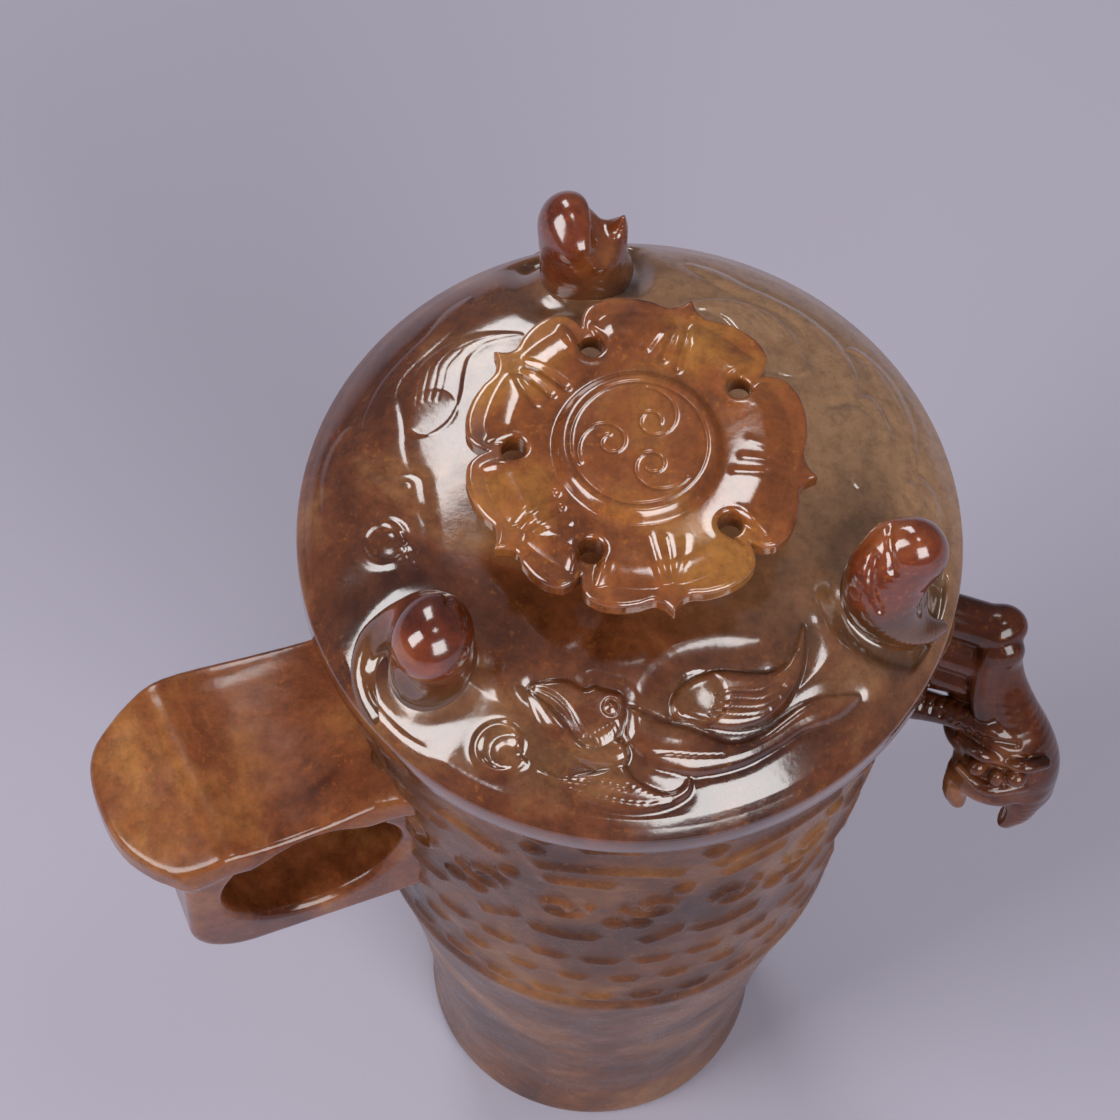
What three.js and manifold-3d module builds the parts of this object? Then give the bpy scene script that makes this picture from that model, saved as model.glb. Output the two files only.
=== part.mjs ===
// Lidded jade cup: a tapered cup on a plain foot, with a finger ring and thumb plate on one side
// and a small openwork dragon on the other, and a domed lid with three curled hooks round a flower knob.
// Millimetres, +Z up, origin at the centre of the foot's flat underside.
// Bearings are in degrees round +Z from +X, and each handle is shaped on +X before it is turned to its bearing.

import * as THREE from "three";
import { mergeVertices } from "three/addons/utils/BufferGeometryUtils.js";
import Module from "manifold-3d";

// Cup
const CUP_HEIGHT = 133.4;
const RIM_RADIUS = 34.7;
const RIM_WALL = 3.2;
const RIM_ROUND = 0.6;
const BOWL_BASE_HEIGHT = 63;
const BOWL_BASE_RADIUS = 29.4;
const CAVITY_FLOOR = 70;
const CAVITY_FILLET = 12;
const CAVITY_TAPER_WALL = 0.6;
const FOOT_RADIUS = 22;
const FOOT_BAND_HEIGHT = 10;
const FOOT_WAIST_RADIUS = 23.6;
const FOOT_WAIST_HEIGHT = 34;
const FOOT_EDGE_ROUND = 1.2;

// Lid
const LID_OVERHANG = 2.3;
const LID_RIM_THICKNESS = 3.3;
const LID_EDGE_ROUND = 0.7;
const LID_DOME_RISE = 10;
const LID_SHOULDER_POWER = 5;
const LID_CROWN_THICKNESS = 4.4;
const SPIGOT_HEIGHT = 4;
const SPIGOT_WALL = 3;
const KNOB_SEAT_RADIUS = 8.4;

// Curled hooks on the lid, each set in from the lid's edge by its own distance
const HOOK_INSETS = [7, 8.2, 7.6];
const FIRST_HOOK_BEARING = 103;
const HOOK_HEIGHT = 12.4;
const HOOK_WIDTH = 10.3;
const HOOK_THICKNESS = 9.2;
const HOOK_BULB_RADIUS = 3.5;
const HOOK_SADDLE_DEPTH = 4.6;
const HOOK_TIP_DROP = 2.6;
const HOOK_HOLLOW_DEPTH = 2.4;
const HOOK_HOLLOW_HEIGHT = 4.6;
const HOOK_RIDGE_REACH = 5.8;
const HOOK_RIDGE_RADIUS = 1.2;

// Flower knob
const KNOB_HEIGHT = 22;
const FLOWER_RADIUS = 18.8;
const FLOWER_THICKNESS = 5.2;
const FLOWER_EDGE_DROP = 2.4;
const PETAL_COUNT = 5;
const FIRST_PETAL_BEARING = 73.6;
const PETAL_TIP = 1.4;
const PETAL_TIP_WIDTH = 3.6;
const PETAL_NOTCH = 2.6;
const PETAL_NOTCH_WIDTH = 4;
const FLOWER_DISC_RADIUS = 8.8;
const FLOWER_VALLEY_DEPTH = 1.5;
const FLOWER_GROOVE_DEPTH = 0.9;
const FLOWER_HOLE_RADIUS = 1.4;
const FLOWER_HOLE_CIRCLE = 13.1;
const STEM_TOP_RADIUS = 6.6;
const STEM_WAIST_RADIUS = 5;
const STEM_FOOT_RADIUS = 7.6;

// Finger ring and thumb plate
const RING_BEARING = 203.6;
const BORE_CENTRE_REACH = 41.9;
const FINGER_BORE_RADIUS = 10.7;
const STONE_OVER_BORE = 2.4;
const RING_OUTER_WALL = 4.6;
const RING_BOTTOM_WALL = 5.3;
const RING_CORNER_ROUND = 8;
const RING_WIDTH = 21.4;
const RING_EDGE_ROUND = 1.4;
const PLATE_TOP_DROP = 23.4;
const PLATE_THICKNESS = 4.2;
const PLATE_LENGTH = 63.4;
const PLATE_RIDGE_INSET = 10.6;
const PLATE_RIDGE_SOFTENING = 2.4;
const PLATE_DIP = 1;
const PLATE_TIP_DROP = 4;
const PLATE_TIP_THINNING = 0.4;
const PLATE_NEAR_HALF = 11.3;
const PLATE_FAR_HALF = 13.5;
const PLATE_ROOT_NARROWING = 1.6;
const PLATE_FAR_CORNER = [13.4, 8.5];
const PLATE_NEAR_CORNER = 11.3;

// Openwork dragon: places are [reach, sway, drop below the rim]
const DRAGON_BEARING = 345.5;
const DRAGON_RUMP = [42.4, 5.9, 4.8];
const DRAGON_CHEST = [45.6, -0.8, 22.2];
const DRAGON_HEAD = [46.9, -2.8, 26.6];
const DRAGON_RUMP_RADIUS = 2.7;
const DRAGON_FLANK_RADIUS = 2.5;
const DRAGON_BACK_RADIUS = 3;
const DRAGON_CHEST_RADII = [5.4, 4.2, 4.8];
const DRAGON_HEAD_RADII = [6, 4, 5.4];
const DRAGON_SNOUT_RADII = [3.9, 2.6, 3.4];
const DRAGON_FORELEG_DROP = 18.8;
const DRAGON_FORELEG_RADII = [1.8, 1.3];
const DRAGON_FORELEG_GAP = 2.3;
const DRAGON_JAW_GAPE = 7.4;
const DRAGON_JAW_LENGTH = 8.2;
const DRAGON_JAW_RADII = [1.7, 2.4];

// Clearances
const SEAT_GAP = 0.3;
const SPIGOT_CLEARANCE = 0.4;

// Smoothness
const TURNED_STEPS = 64;
const ARC_STEPS = 6;
const FLOWER_STEPS = 20;
const LIMB_SIDES = 14;

// Places that follow from the sizes above
const LID_RADIUS = RIM_RADIUS + LID_OVERHANG;
const LID_UNDERSIDE = CUP_HEIGHT + SEAT_GAP;
const LID_TOP_ARRIS = LID_UNDERSIDE + LID_RIM_THICKNESS;
const LID_CROWN = LID_TOP_ARRIS + LID_DOME_RISE;
const BORE_RADIUS = RIM_RADIUS - RIM_WALL;
const WALL_SLOPE = (RIM_RADIUS - BOWL_BASE_RADIUS) / (CUP_HEIGHT - BOWL_BASE_HEIGHT);
const SPIGOT_RADIUS = BORE_RADIUS - SPIGOT_HEIGHT * WALL_SLOPE - SPIGOT_CLEARANCE;
const FLOWER_TOP = LID_TOP_ARRIS + KNOB_HEIGHT;
const FLOWER_UNDERSIDE = FLOWER_TOP - FLOWER_THICKNESS;
const PETAL_STEP = 360 / PETAL_COUNT;
const PLATE_TOP_HEIGHT = CUP_HEIGHT - PLATE_TOP_DROP;
const PLATE_RIDGE_REACH = PLATE_LENGTH - PLATE_RIDGE_INSET;
const BORE_CENTRE_HEIGHT = PLATE_TOP_HEIGHT - STONE_OVER_BORE - FINGER_BORE_RADIUS;

const wasm = await Module();
wasm.setup();

function closedGeometry(source) {
  const bare = source.clone();
  bare.deleteAttribute("normal");
  bare.deleteAttribute("uv");
  const merged = mergeVertices(bare, 1e-4);
  const corners = merged.index.array;
  const kept = [];
  for (let i = 0; i < corners.length; i += 3) {
    const [a, b, c] = [corners[i], corners[i + 1], corners[i + 2]];
    if (a !== b && b !== c && c !== a) {
      kept.push(a, b, c);
    }
  }
  merged.setIndex(kept);
  return merged;
}

function toSolid(source) {
  const merged = closedGeometry(source);
  const mesh = new wasm.Mesh({
    numProp: 3,
    vertProperties: new Float32Array(merged.attributes.position.array),
    triVerts: new Uint32Array(merged.index.array),
  });
  return new wasm.Manifold(mesh);
}

function toGeometry(solid) {
  const mesh = solid.getMesh();
  const geometry = new THREE.BufferGeometry();
  geometry.setAttribute("position", new THREE.BufferAttribute(new Float32Array(mesh.vertProperties), 3));
  geometry.setIndex(new THREE.BufferAttribute(new Uint32Array(mesh.triVerts), 1));
  return geometry;
}

function joined(geometries) {
  return geometries.map(toSolid).reduce((whole, piece) => whole.add(piece));
}

// A body turned about +Z from [radius, height] corners, listed upwards along its outside
function turned(profile, steps = TURNED_STEPS) {
  const points = profile.map(([radius, height]) => new THREE.Vector2(radius, height));
  return new THREE.LatheGeometry(points, steps).rotateX(Math.PI / 2);
}

// A side outline in [reach, height], given its width along the tangent and centred on +X
function sideExtrusion(shape, width, round, curveSegments = ARC_STEPS) {
  const geometry = new THREE.ExtrudeGeometry(shape, {
    depth: width - 2 * round,
    bevelEnabled: round > 0,
    bevelThickness: round,
    bevelSize: round,
    bevelOffset: -round,
    bevelSegments: 3,
    curveSegments,
  });
  geometry.translate(0, 0, round - width / 2);
  return geometry.rotateX(Math.PI / 2);
}

function arc(centreX, centreY, radius, fromDegrees, toDegrees, steps = ARC_STEPS) {
  return Array.from({ length: steps + 1 }, (_, k) => {
    const angle = THREE.MathUtils.degToRad(fromDegrees + ((toDegrees - fromDegrees) * k) / steps);
    return [centreX + radius * Math.cos(angle), centreY + radius * Math.sin(angle)];
  });
}

// A closed body skinned over rings of points that all have the same count, with a centre point at each end
function skinned(rings, firstCentre, lastCentre) {
  const count = rings[0].length;
  const corners = [];
  for (let j = 0; j < rings.length - 1; j += 1) {
    for (let k = 0; k < count; k += 1) {
      const next = (k + 1) % count;
      const [a, b] = [j * count + k, j * count + next];
      corners.push(a, b, a + count, b, b + count, a + count);
    }
  }
  const first = rings.length * count;
  const lastRing = first - count;
  for (let k = 0; k < count; k += 1) {
    const next = (k + 1) % count;
    corners.push(first, next, k);
    corners.push(first + 1, lastRing + k, lastRing + next);
  }
  const positions = [...rings.flat(2), ...firstCentre, ...lastCentre];
  const geometry = new THREE.BufferGeometry();
  geometry.setAttribute("position", new THREE.BufferAttribute(new Float32Array(positions), 3));
  geometry.setIndex(corners);
  return geometry;
}

// A round limb along a smooth curve through [reach, sway, height] points; its radius grows evenly between two values
function limb(points, [firstRadius, lastRadius]) {
  const path = new THREE.CatmullRomCurve3(points.map((point) => new THREE.Vector3(...point)));
  const steps = 2 * points.length;
  const frames = path.computeFrenetFrames(steps);
  const rings = Array.from({ length: steps + 1 }, (_, j) => {
    const centre = path.getPointAt(j / steps);
    const radius = firstRadius + ((lastRadius - firstRadius) * j) / steps;
    return Array.from({ length: LIMB_SIDES }, (_, k) => {
      const angle = (2 * Math.PI * k) / LIMB_SIDES;
      const point = centre.clone();
      point.addScaledVector(frames.normals[j], radius * Math.cos(angle));
      point.addScaledVector(frames.binormals[j], radius * Math.sin(angle));
      return point.toArray();
    });
  });
  return skinned(rings, path.getPointAt(0).toArray(), path.getPointAt(1).toArray());
}

function swelling(radii, centre) {
  return new THREE.SphereGeometry(1, 16, 10).scale(...radii).translate(...centre);
}

function wallRadius(height) {
  return RIM_RADIUS - (CUP_HEIGHT - height) * WALL_SLOPE;
}

// The lid's upper face: nearly level in the middle, rolling over a rounded shoulder to the edge
function domeHeight(radius) {
  return LID_CROWN - LID_DOME_RISE * (radius / LID_RADIUS) ** LID_SHOULDER_POWER;
}

// Corners of the lid's upper face between two radii, lifted by a clearance measured square to the face
function domeProfile(firstRadius, lastRadius, clearance = 0) {
  return Array.from({ length: 2 * ARC_STEPS + 1 }, (_, k) => {
    const radius = firstRadius + ((lastRadius - firstRadius) * k) / (2 * ARC_STEPS);
    const slope = (LID_SHOULDER_POWER * (LID_CROWN - domeHeight(radius))) / Math.max(radius, 1);
    return [radius, domeHeight(radius) + clearance * Math.hypot(1, slope)];
  });
}

// The cup's wall grown by the seat gap, to cut what stands against it
function wallCutter() {
  return toSolid(turned([
    [0, BOWL_BASE_HEIGHT],
    [BOWL_BASE_RADIUS + SEAT_GAP, BOWL_BASE_HEIGHT],
    [RIM_RADIUS + SEAT_GAP, CUP_HEIGHT],
    [0, CUP_HEIGHT],
  ]));
}

function cupBowl() {
  const outside = [
    [0, BOWL_BASE_HEIGHT],
    [BOWL_BASE_RADIUS, BOWL_BASE_HEIGHT],
    ...arc(RIM_RADIUS - RIM_ROUND, CUP_HEIGHT - RIM_ROUND, RIM_ROUND, 0, 90, 3),
  ];
  const floorRadius = wallRadius(CAVITY_FLOOR + CAVITY_FILLET) - RIM_WALL - CAVITY_TAPER_WALL;
  const inside = [
    ...arc(BORE_RADIUS + RIM_ROUND, CUP_HEIGHT - RIM_ROUND, RIM_ROUND, 90, 180, 3),
    ...arc(floorRadius - CAVITY_FILLET, CAVITY_FLOOR + CAVITY_FILLET, CAVITY_FILLET, 0, -90),
    [0, CAVITY_FLOOR],
  ];
  return turned([...outside, ...inside]);
}

function cupFoot() {
  const base = new THREE.Vector2(BOWL_BASE_RADIUS, BOWL_BASE_HEIGHT);
  const waist = new THREE.Vector2(FOOT_WAIST_RADIUS, FOOT_WAIST_HEIGHT);
  const band = new THREE.Vector2(FOOT_RADIUS, FOOT_BAND_HEIGHT);
  const flare = new THREE.QuadraticBezierCurve(band, waist, base).getPoints(2 * ARC_STEPS);
  return turned([
    [0, 0],
    ...arc(FOOT_RADIUS - FOOT_EDGE_ROUND, FOOT_EDGE_ROUND, FOOT_EDGE_ROUND, -90, 0, 3),
    ...flare.map((point) => [point.x, point.y]),
    [0, BOWL_BASE_HEIGHT],
  ]);
}

function lid() {
  const dome = domeProfile(LID_RADIUS - LID_EDGE_ROUND, KNOB_SEAT_RADIUS);
  const spigotBore = SPIGOT_RADIUS - SPIGOT_WALL;
  const spigotFoot = LID_UNDERSIDE - SPIGOT_HEIGHT;
  const hollowTop = LID_CROWN - LID_CROWN_THICKNESS;
  return turned([
    [0, hollowTop],
    [spigotBore - LID_CROWN_THICKNESS, hollowTop - LID_DOME_RISE / 4],
    [spigotBore, LID_UNDERSIDE],
    [spigotBore, spigotFoot],
    [SPIGOT_RADIUS, spigotFoot],
    [SPIGOT_RADIUS, LID_UNDERSIDE],
    [LID_RADIUS, LID_UNDERSIDE],
    ...arc(LID_RADIUS - LID_EDGE_ROUND, LID_TOP_ARRIS - LID_EDGE_ROUND, LID_EDGE_ROUND, 0, 60, 3),
    ...dome,
    [KNOB_SEAT_RADIUS, LID_CROWN],
    [0, LID_CROWN],
  ]);
}

// One hook: its comma outline along the tangent, its oval plan and its rounded end view cut from one another,
// hollowed under the curl, with a low ridge sweeping out from it, then seated on the dome
function lidHook(inset) {
  const reach = LID_RADIUS - inset;
  const half = HOOK_WIDTH / 2;
  const seat = domeHeight(reach);
  const root = LID_TOP_ARRIS - 1;
  const top = seat + HOOK_HEIGHT;
  const bulbX = half - HOOK_BULB_RADIUS;
  const bulbY = top - HOOK_BULB_RADIUS;
  const saddle = top - HOOK_SADDLE_DEPTH;
  const tip = top - HOOK_TIP_DROP;
  const comma = new THREE.Shape();
  comma.moveTo(-half, root);
  comma.lineTo(half, root);
  comma.absarc(bulbX, bulbY, HOOK_BULB_RADIUS, 0, Math.PI * 0.8, false);
  comma.quadraticCurveTo(-0.4 * half, saddle - 0.4, -0.6 * half, saddle);
  comma.quadraticCurveTo(-0.8 * half, saddle + 0.4, -half, tip);
  const side = sideExtrusion(comma, 2 * HOOK_THICKNESS, 0);
  side.rotateZ(Math.PI / 2);
  side.translate(reach, 0, 0);

  const oval = new THREE.Shape();
  oval.absellipse(reach, 0, HOOK_THICKNESS / 2, half, 0, 2 * Math.PI, false, 0);
  const plan = new THREE.ExtrudeGeometry(oval, {
    depth: 2 * HOOK_HEIGHT,
    bevelEnabled: false,
    curveSegments: 2 * ARC_STEPS,
  });
  plan.translate(0, 0, root - 1);

  const rounded = new THREE.Shape();
  const round = HOOK_THICKNESS / 2;
  rounded.moveTo(reach - round - 1, root - 1);
  rounded.lineTo(reach + round + 1, root - 1);
  rounded.absarc(reach, top - round, round + 0.2, 0, Math.PI, false);
  const end = sideExtrusion(rounded, 2 * HOOK_WIDTH, 0);

  const hollow = swelling(
    [HOOK_HOLLOW_DEPTH, 2, HOOK_HOLLOW_HEIGHT / 2 + 1],
    [reach + round, -0.3 * half, seat + HOOK_HOLLOW_HEIGHT],
  );
  const ridgeEnd = reach + HOOK_RIDGE_REACH;
  const ridge = limb([
    [reach + 0.2 * round, -0.8 * half, seat + HOOK_HOLLOW_HEIGHT],
    [reach + 0.7 * round, -0.84 * half, seat + 0.3 * HOOK_HOLLOW_HEIGHT],
    [ridgeEnd - 1, -0.6 * half, domeHeight(ridgeEnd - 1) + 0.5],
    [ridgeEnd, -0.1 * half, domeHeight(ridgeEnd)],
  ], [HOOK_RIDGE_RADIUS, HOOK_RIDGE_RADIUS]);

  const lidEdge = LID_RADIUS - LID_EDGE_ROUND;
  const overLid = toSolid(turned([
    ...domeProfile(0, lidEdge, SEAT_GAP),
    [lidEdge, top + 1],
    [0, top + 1],
  ]));
  const curl = toSolid(side).intersect(toSolid(plan)).intersect(toSolid(end));
  return toGeometry(curl.subtract(toSolid(hollow)).add(toSolid(ridge)).intersect(overLid));
}

function petalPhase(bearing) {
  const turns = (bearing - FIRST_PETAL_BEARING) / PETAL_STEP;
  return (turns - Math.round(turns)) * PETAL_STEP;
}

function flowerEdge(bearing) {
  const phase = petalPhase(bearing);
  const fromNotch = PETAL_STEP / 2 - Math.abs(phase);
  const tip = PETAL_TIP * Math.exp(-((phase / PETAL_TIP_WIDTH) ** 2));
  const notch = PETAL_NOTCH * Math.exp(-((fromNotch / PETAL_NOTCH_WIDTH) ** 2));
  return FLOWER_RADIUS + tip - notch;
}

// Height of the petals' upper face: a valley round the disc, a crowned petal, a falling edge and a groove at each notch
function flowerTop(share, bearing) {
  const fromNotch = PETAL_STEP / 2 - Math.abs(petalPhase(bearing));
  const groove = FLOWER_GROOVE_DEPTH * Math.exp(-((fromNotch / PETAL_NOTCH_WIDTH) ** 2));
  const crown = Math.sin(Math.PI * Math.min(1, share * 1.15)) * FLOWER_VALLEY_DEPTH * 0.7;
  const fall = FLOWER_EDGE_DROP * share ** 3;
  return FLOWER_TOP - FLOWER_VALLEY_DEPTH + crown - fall - groove * share;
}

function flowerKnob() {
  const steps = PETAL_COUNT * FLOWER_STEPS;
  const shares = [0, 0.2, 0.4, 0.6, 0.8, 0.93, 1];
  const rings = [];
  const ring = (radiusAt, heightAt) => rings.push(Array.from({ length: steps }, (_, k) => {
    const bearing = FIRST_PETAL_BEARING + (360 * k) / steps;
    const angle = THREE.MathUtils.degToRad(bearing);
    const radius = radiusAt(bearing);
    return [radius * Math.cos(angle), radius * Math.sin(angle), heightAt(bearing)];
  }));
  ring(() => STEM_TOP_RADIUS, () => FLOWER_UNDERSIDE);
  ring((bearing) => 0.93 * flowerEdge(bearing), () => FLOWER_UNDERSIDE + 0.6);
  ring((bearing) => flowerEdge(bearing), () => FLOWER_UNDERSIDE + 1.4);
  for (const share of shares.toReversed()) {
    const radiusAt = (bearing) => {
      const inner = FLOWER_DISC_RADIUS + 0.5;
      return inner + (flowerEdge(bearing) - inner) * Math.min(share, 0.985);
    };
    ring(radiusAt, (bearing) => flowerTop(share, bearing));
  }
  ring(() => FLOWER_DISC_RADIUS, () => FLOWER_TOP - 0.3);
  ring(() => FLOWER_DISC_RADIUS - 0.4, () => FLOWER_TOP);

  const flower = skinned(rings, [0, 0, FLOWER_UNDERSIDE], [0, 0, FLOWER_TOP]);
  let solid = toSolid(flower);
  for (let k = 0; k < PETAL_COUNT; k += 1) {
    const angle = THREE.MathUtils.degToRad(FIRST_PETAL_BEARING + (k + 0.5) * PETAL_STEP);
    const drill = new THREE.CylinderGeometry(FLOWER_HOLE_RADIUS, FLOWER_HOLE_RADIUS, 3 * FLOWER_THICKNESS, 12);
    drill.rotateX(Math.PI / 2);
    drill.translate(FLOWER_HOLE_CIRCLE * Math.cos(angle), FLOWER_HOLE_CIRCLE * Math.sin(angle), FLOWER_TOP);
    solid = solid.subtract(toSolid(drill));
  }
  return toGeometry(solid);
}

function knobStem() {
  const middle = (LID_CROWN + FLOWER_UNDERSIDE) / 2;
  return turned([
    [0, LID_CROWN],
    [STEM_FOOT_RADIUS, LID_CROWN],
    [STEM_FOOT_RADIUS, LID_CROWN + 1.2],
    [STEM_WAIST_RADIUS, middle - 1],
    [STEM_WAIST_RADIUS, middle + 1],
    [STEM_TOP_RADIUS, FLOWER_UNDERSIDE],
    [0, FLOWER_UNDERSIDE],
  ], TURNED_STEPS / 3);
}

// The thumb plate's underside from the axis out to its tip, level as far as the ridge
function plateUnderside(outline, low) {
  outline.lineTo(PLATE_RIDGE_REACH, low);
  outline.lineTo(PLATE_LENGTH, low - PLATE_TIP_DROP + PLATE_TIP_THINNING);
}

// Side outline of the thumb plate, out from the axis
function plateSide() {
  const top = PLATE_TOP_HEIGHT;
  const low = PLATE_TOP_HEIGHT - PLATE_THICKNESS;
  const ridge = PLATE_RIDGE_REACH;
  const soft = PLATE_RIDGE_SOFTENING;
  const dipReach = (wallRadius(top) + ridge) / 2;
  const side = new THREE.Shape();
  side.moveTo(0, low);
  plateUnderside(side, low);
  side.lineTo(PLATE_LENGTH, top - PLATE_TIP_DROP);
  side.lineTo(ridge + soft, top - (PLATE_TIP_DROP * soft) / PLATE_RIDGE_INSET);
  side.quadraticCurveTo(ridge, top, ridge - soft, top - 0.2 * PLATE_DIP);
  side.quadraticCurveTo(dipReach, top - 1.8 * PLATE_DIP, wallRadius(top), top);
  side.lineTo(0, top);
  side.closePath();
  return side;
}

// Plan of the thumb plate: the far side reaches further and its corner is cut back more than the near one
function platePlan() {
  const [cutLength, cutWidth] = PLATE_FAR_CORNER;
  const nearRoot = PLATE_NEAR_HALF - PLATE_ROOT_NARROWING;
  const farRoot = PLATE_FAR_HALF - 2 * PLATE_ROOT_NARROWING;
  const tip = PLATE_LENGTH;
  const plan = new THREE.Shape();
  plan.moveTo(0, -farRoot);
  plan.lineTo(tip - cutLength, -PLATE_FAR_HALF);
  plan.quadraticCurveTo(tip - 0.25 * cutLength, -PLATE_FAR_HALF, tip, cutWidth - PLATE_FAR_HALF);
  plan.lineTo(tip, PLATE_NEAR_HALF - PLATE_NEAR_CORNER);
  plan.quadraticCurveTo(tip - 0.1 * PLATE_NEAR_CORNER, PLATE_NEAR_HALF, tip - PLATE_NEAR_CORNER, PLATE_NEAR_HALF);
  plan.lineTo(0, nearRoot);
  plan.closePath();
  return plan;
}

// What the finger passes through, cut from the ring and from the plate's underside
function fingerBore() {
  const bore = new THREE.CylinderGeometry(FINGER_BORE_RADIUS, FINGER_BORE_RADIUS, 4 * RING_WIDTH, 6 * ARC_STEPS);
  bore.translate(BORE_CENTRE_REACH, 0, BORE_CENTRE_HEIGHT);
  return toSolid(bore);
}

function thumbPlate() {
  const slab = sideExtrusion(plateSide(), 4 * PLATE_NEAR_HALF, 0, 2 * ARC_STEPS);
  const blank = new THREE.ExtrudeGeometry(platePlan(), {
    depth: 4 * PLATE_THICKNESS,
    bevelEnabled: false,
    curveSegments: ARC_STEPS,
  });
  blank.translate(0, 0, PLATE_TOP_HEIGHT - 3 * PLATE_THICKNESS);
  const plate = toSolid(slab).intersect(toSolid(blank));
  return toGeometry(plate.subtract(fingerBore()).subtract(wallCutter()));
}

// The finger ring: a band with square shoulders from the cup's wall round under the bore, cut off flat under
// the thumb plate, which closes the bore above
function fingerRing() {
  const round = RING_CORNER_ROUND;
  const outer = BORE_CENTRE_REACH + FINGER_BORE_RADIUS + RING_OUTER_WALL;
  const bottom = BORE_CENTRE_HEIGHT - FINGER_BORE_RADIUS - RING_BOTTOM_WALL;
  const inner = wallRadius(bottom) - round;
  const band = new THREE.Shape();
  band.moveTo(inner, bottom);
  band.lineTo(outer - round, bottom);
  band.absarc(outer - round, bottom + round, round, -Math.PI / 2, 0, false);
  band.lineTo(outer, PLATE_TOP_HEIGHT);
  band.lineTo(BORE_CENTRE_REACH, PLATE_TOP_HEIGHT);
  band.lineTo(BORE_CENTRE_REACH, BORE_CENTRE_HEIGHT);
  band.lineTo(inner, BORE_CENTRE_HEIGHT);
  band.closePath();
  const ring = toSolid(sideExtrusion(band, RING_WIDTH, RING_EDGE_ROUND, 2 * ARC_STEPS));
  const low = PLATE_TOP_HEIGHT - PLATE_THICKNESS - SEAT_GAP;
  const above = new THREE.Shape();
  above.moveTo(0, low);
  plateUnderside(above, low);
  above.lineTo(PLATE_LENGTH, PLATE_TOP_HEIGHT + RING_WIDTH);
  above.lineTo(0, PLATE_TOP_HEIGHT + RING_WIDTH);
  above.closePath();
  const underPlate = toSolid(sideExtrusion(above, 2 * RING_WIDTH, 0, 2 * ARC_STEPS));
  return toGeometry(ring.subtract(fingerBore()).subtract(underPlate).subtract(wallCutter()));
}

function dragonHandle() {
  const place = ([reach, sway, drop]) => [reach, sway, CUP_HEIGHT - drop];
  const shifted = ([x, y, z], along, across, up) => [x + along, y + across, z + up];
  const root = RIM_RADIUS - 4;
  const rump = place(DRAGON_RUMP);
  const chest = place(DRAGON_CHEST);
  const head = place(DRAGON_HEAD);
  const hip = shifted(rump, 0.8, -1.6, -1.6);
  const middle = hip.map((value, axis) => (value + chest[axis]) / 2);

  const hindLeg = limb([[root, rump[1] - 0.6, rump[2] - 0.9], shifted(rump, -6, -0.2, -0.4), rump], [3, 2.6]);
  const flank = limb([
    shifted(hip, -3, -0.4, -2),
    shifted(middle, -3.8, 2, 0.2),
    shifted(chest, -3, 1.4, 0),
  ], [DRAGON_FLANK_RADIUS - 0.3, DRAGON_FLANK_RADIUS + 1]);
  const back = limb([
    hip,
    shifted(middle, 0, 0.6, 1),
    shifted(chest, 1.4, 0.6, 2),
    shifted(head, 1.7, 1.2, 0.4),
  ], [DRAGON_BACK_RADIUS - 0.8, DRAGON_BACK_RADIUS + 1.2]);
  const forelegHeight = CUP_HEIGHT - DRAGON_FORELEG_DROP;
  const forelegs = DRAGON_FORELEG_RADII.map((radius, k) => limb([
    [root, chest[1] + DRAGON_FORELEG_GAP * k, forelegHeight - 1 + DRAGON_FORELEG_GAP * k],
    [chest[0] - 7, chest[1] + DRAGON_FORELEG_GAP * k, forelegHeight + DRAGON_FORELEG_GAP * k],
    [chest[0] - 1.5, chest[1] - 0.8 + DRAGON_FORELEG_GAP * k, forelegHeight + DRAGON_FORELEG_GAP * k],
  ], [radius + 0.5, radius]));
  const jaws = [-1, 1].map((side, k) => {
    const jaw = shifted(head, 0.1 + (side * DRAGON_JAW_GAPE) / 2, -1, -2.8);
    return limb([
      jaw,
      shifted(jaw, 0.2 * side, -1, -0.45 * DRAGON_JAW_LENGTH),
      shifted(jaw, -0.5 * side, -1.4, 2.8 - DRAGON_JAW_LENGTH),
    ], [DRAGON_JAW_RADII[k] + 0.5, DRAGON_JAW_RADII[k] - 0.5]);
  });
  const beast = joined([
    hindLeg,
    swelling([DRAGON_RUMP_RADIUS, DRAGON_RUMP_RADIUS, DRAGON_RUMP_RADIUS], rump),
    flank,
    back,
    ...forelegs,
    swelling(DRAGON_CHEST_RADII, chest),
    swelling(DRAGON_HEAD_RADII, head),
    swelling(DRAGON_SNOUT_RADII, shifted(head, -0.7, -2.4, -1)),
    ...jaws,
  ]);
  return toGeometry(beast.subtract(wallCutter()));
}

const cup = new THREE.Group();

function addPiece(name, geometry, colour, bearing = 0) {
  const material = new THREE.MeshStandardMaterial({ color: colour, roughness: 0.28, metalness: 0 });
  const piece = new THREE.Mesh(closedGeometry(geometry), material);
  piece.name = name;
  piece.rotation.z = THREE.MathUtils.degToRad(bearing);
  cup.add(piece);
}

addPiece("cup_bowl", cupBowl(), 0x7a4a28);
addPiece("cup_foot", cupFoot(), 0x96622f);
addPiece("finger_ring", fingerRing(), 0x85502a, RING_BEARING);
addPiece("thumb_plate", thumbPlate(), 0x84482a, RING_BEARING);
addPiece("dragon_handle", dragonHandle(), 0x7d4422, DRAGON_BEARING);
addPiece("lid", lid(), 0x5e3524);
for (const [k, inset] of HOOK_INSETS.entries()) {
  const bearing = FIRST_HOOK_BEARING + (360 * k) / HOOK_INSETS.length;
  addPiece(`lid_hook_${k + 1}`, lidHook(inset), 0x742f1a, bearing);
}
addPiece("knob_stem", knobStem(), 0x6b3a22);
addPiece("flower_knob", flowerKnob(), 0x8c4a20);

export default cup;
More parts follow.
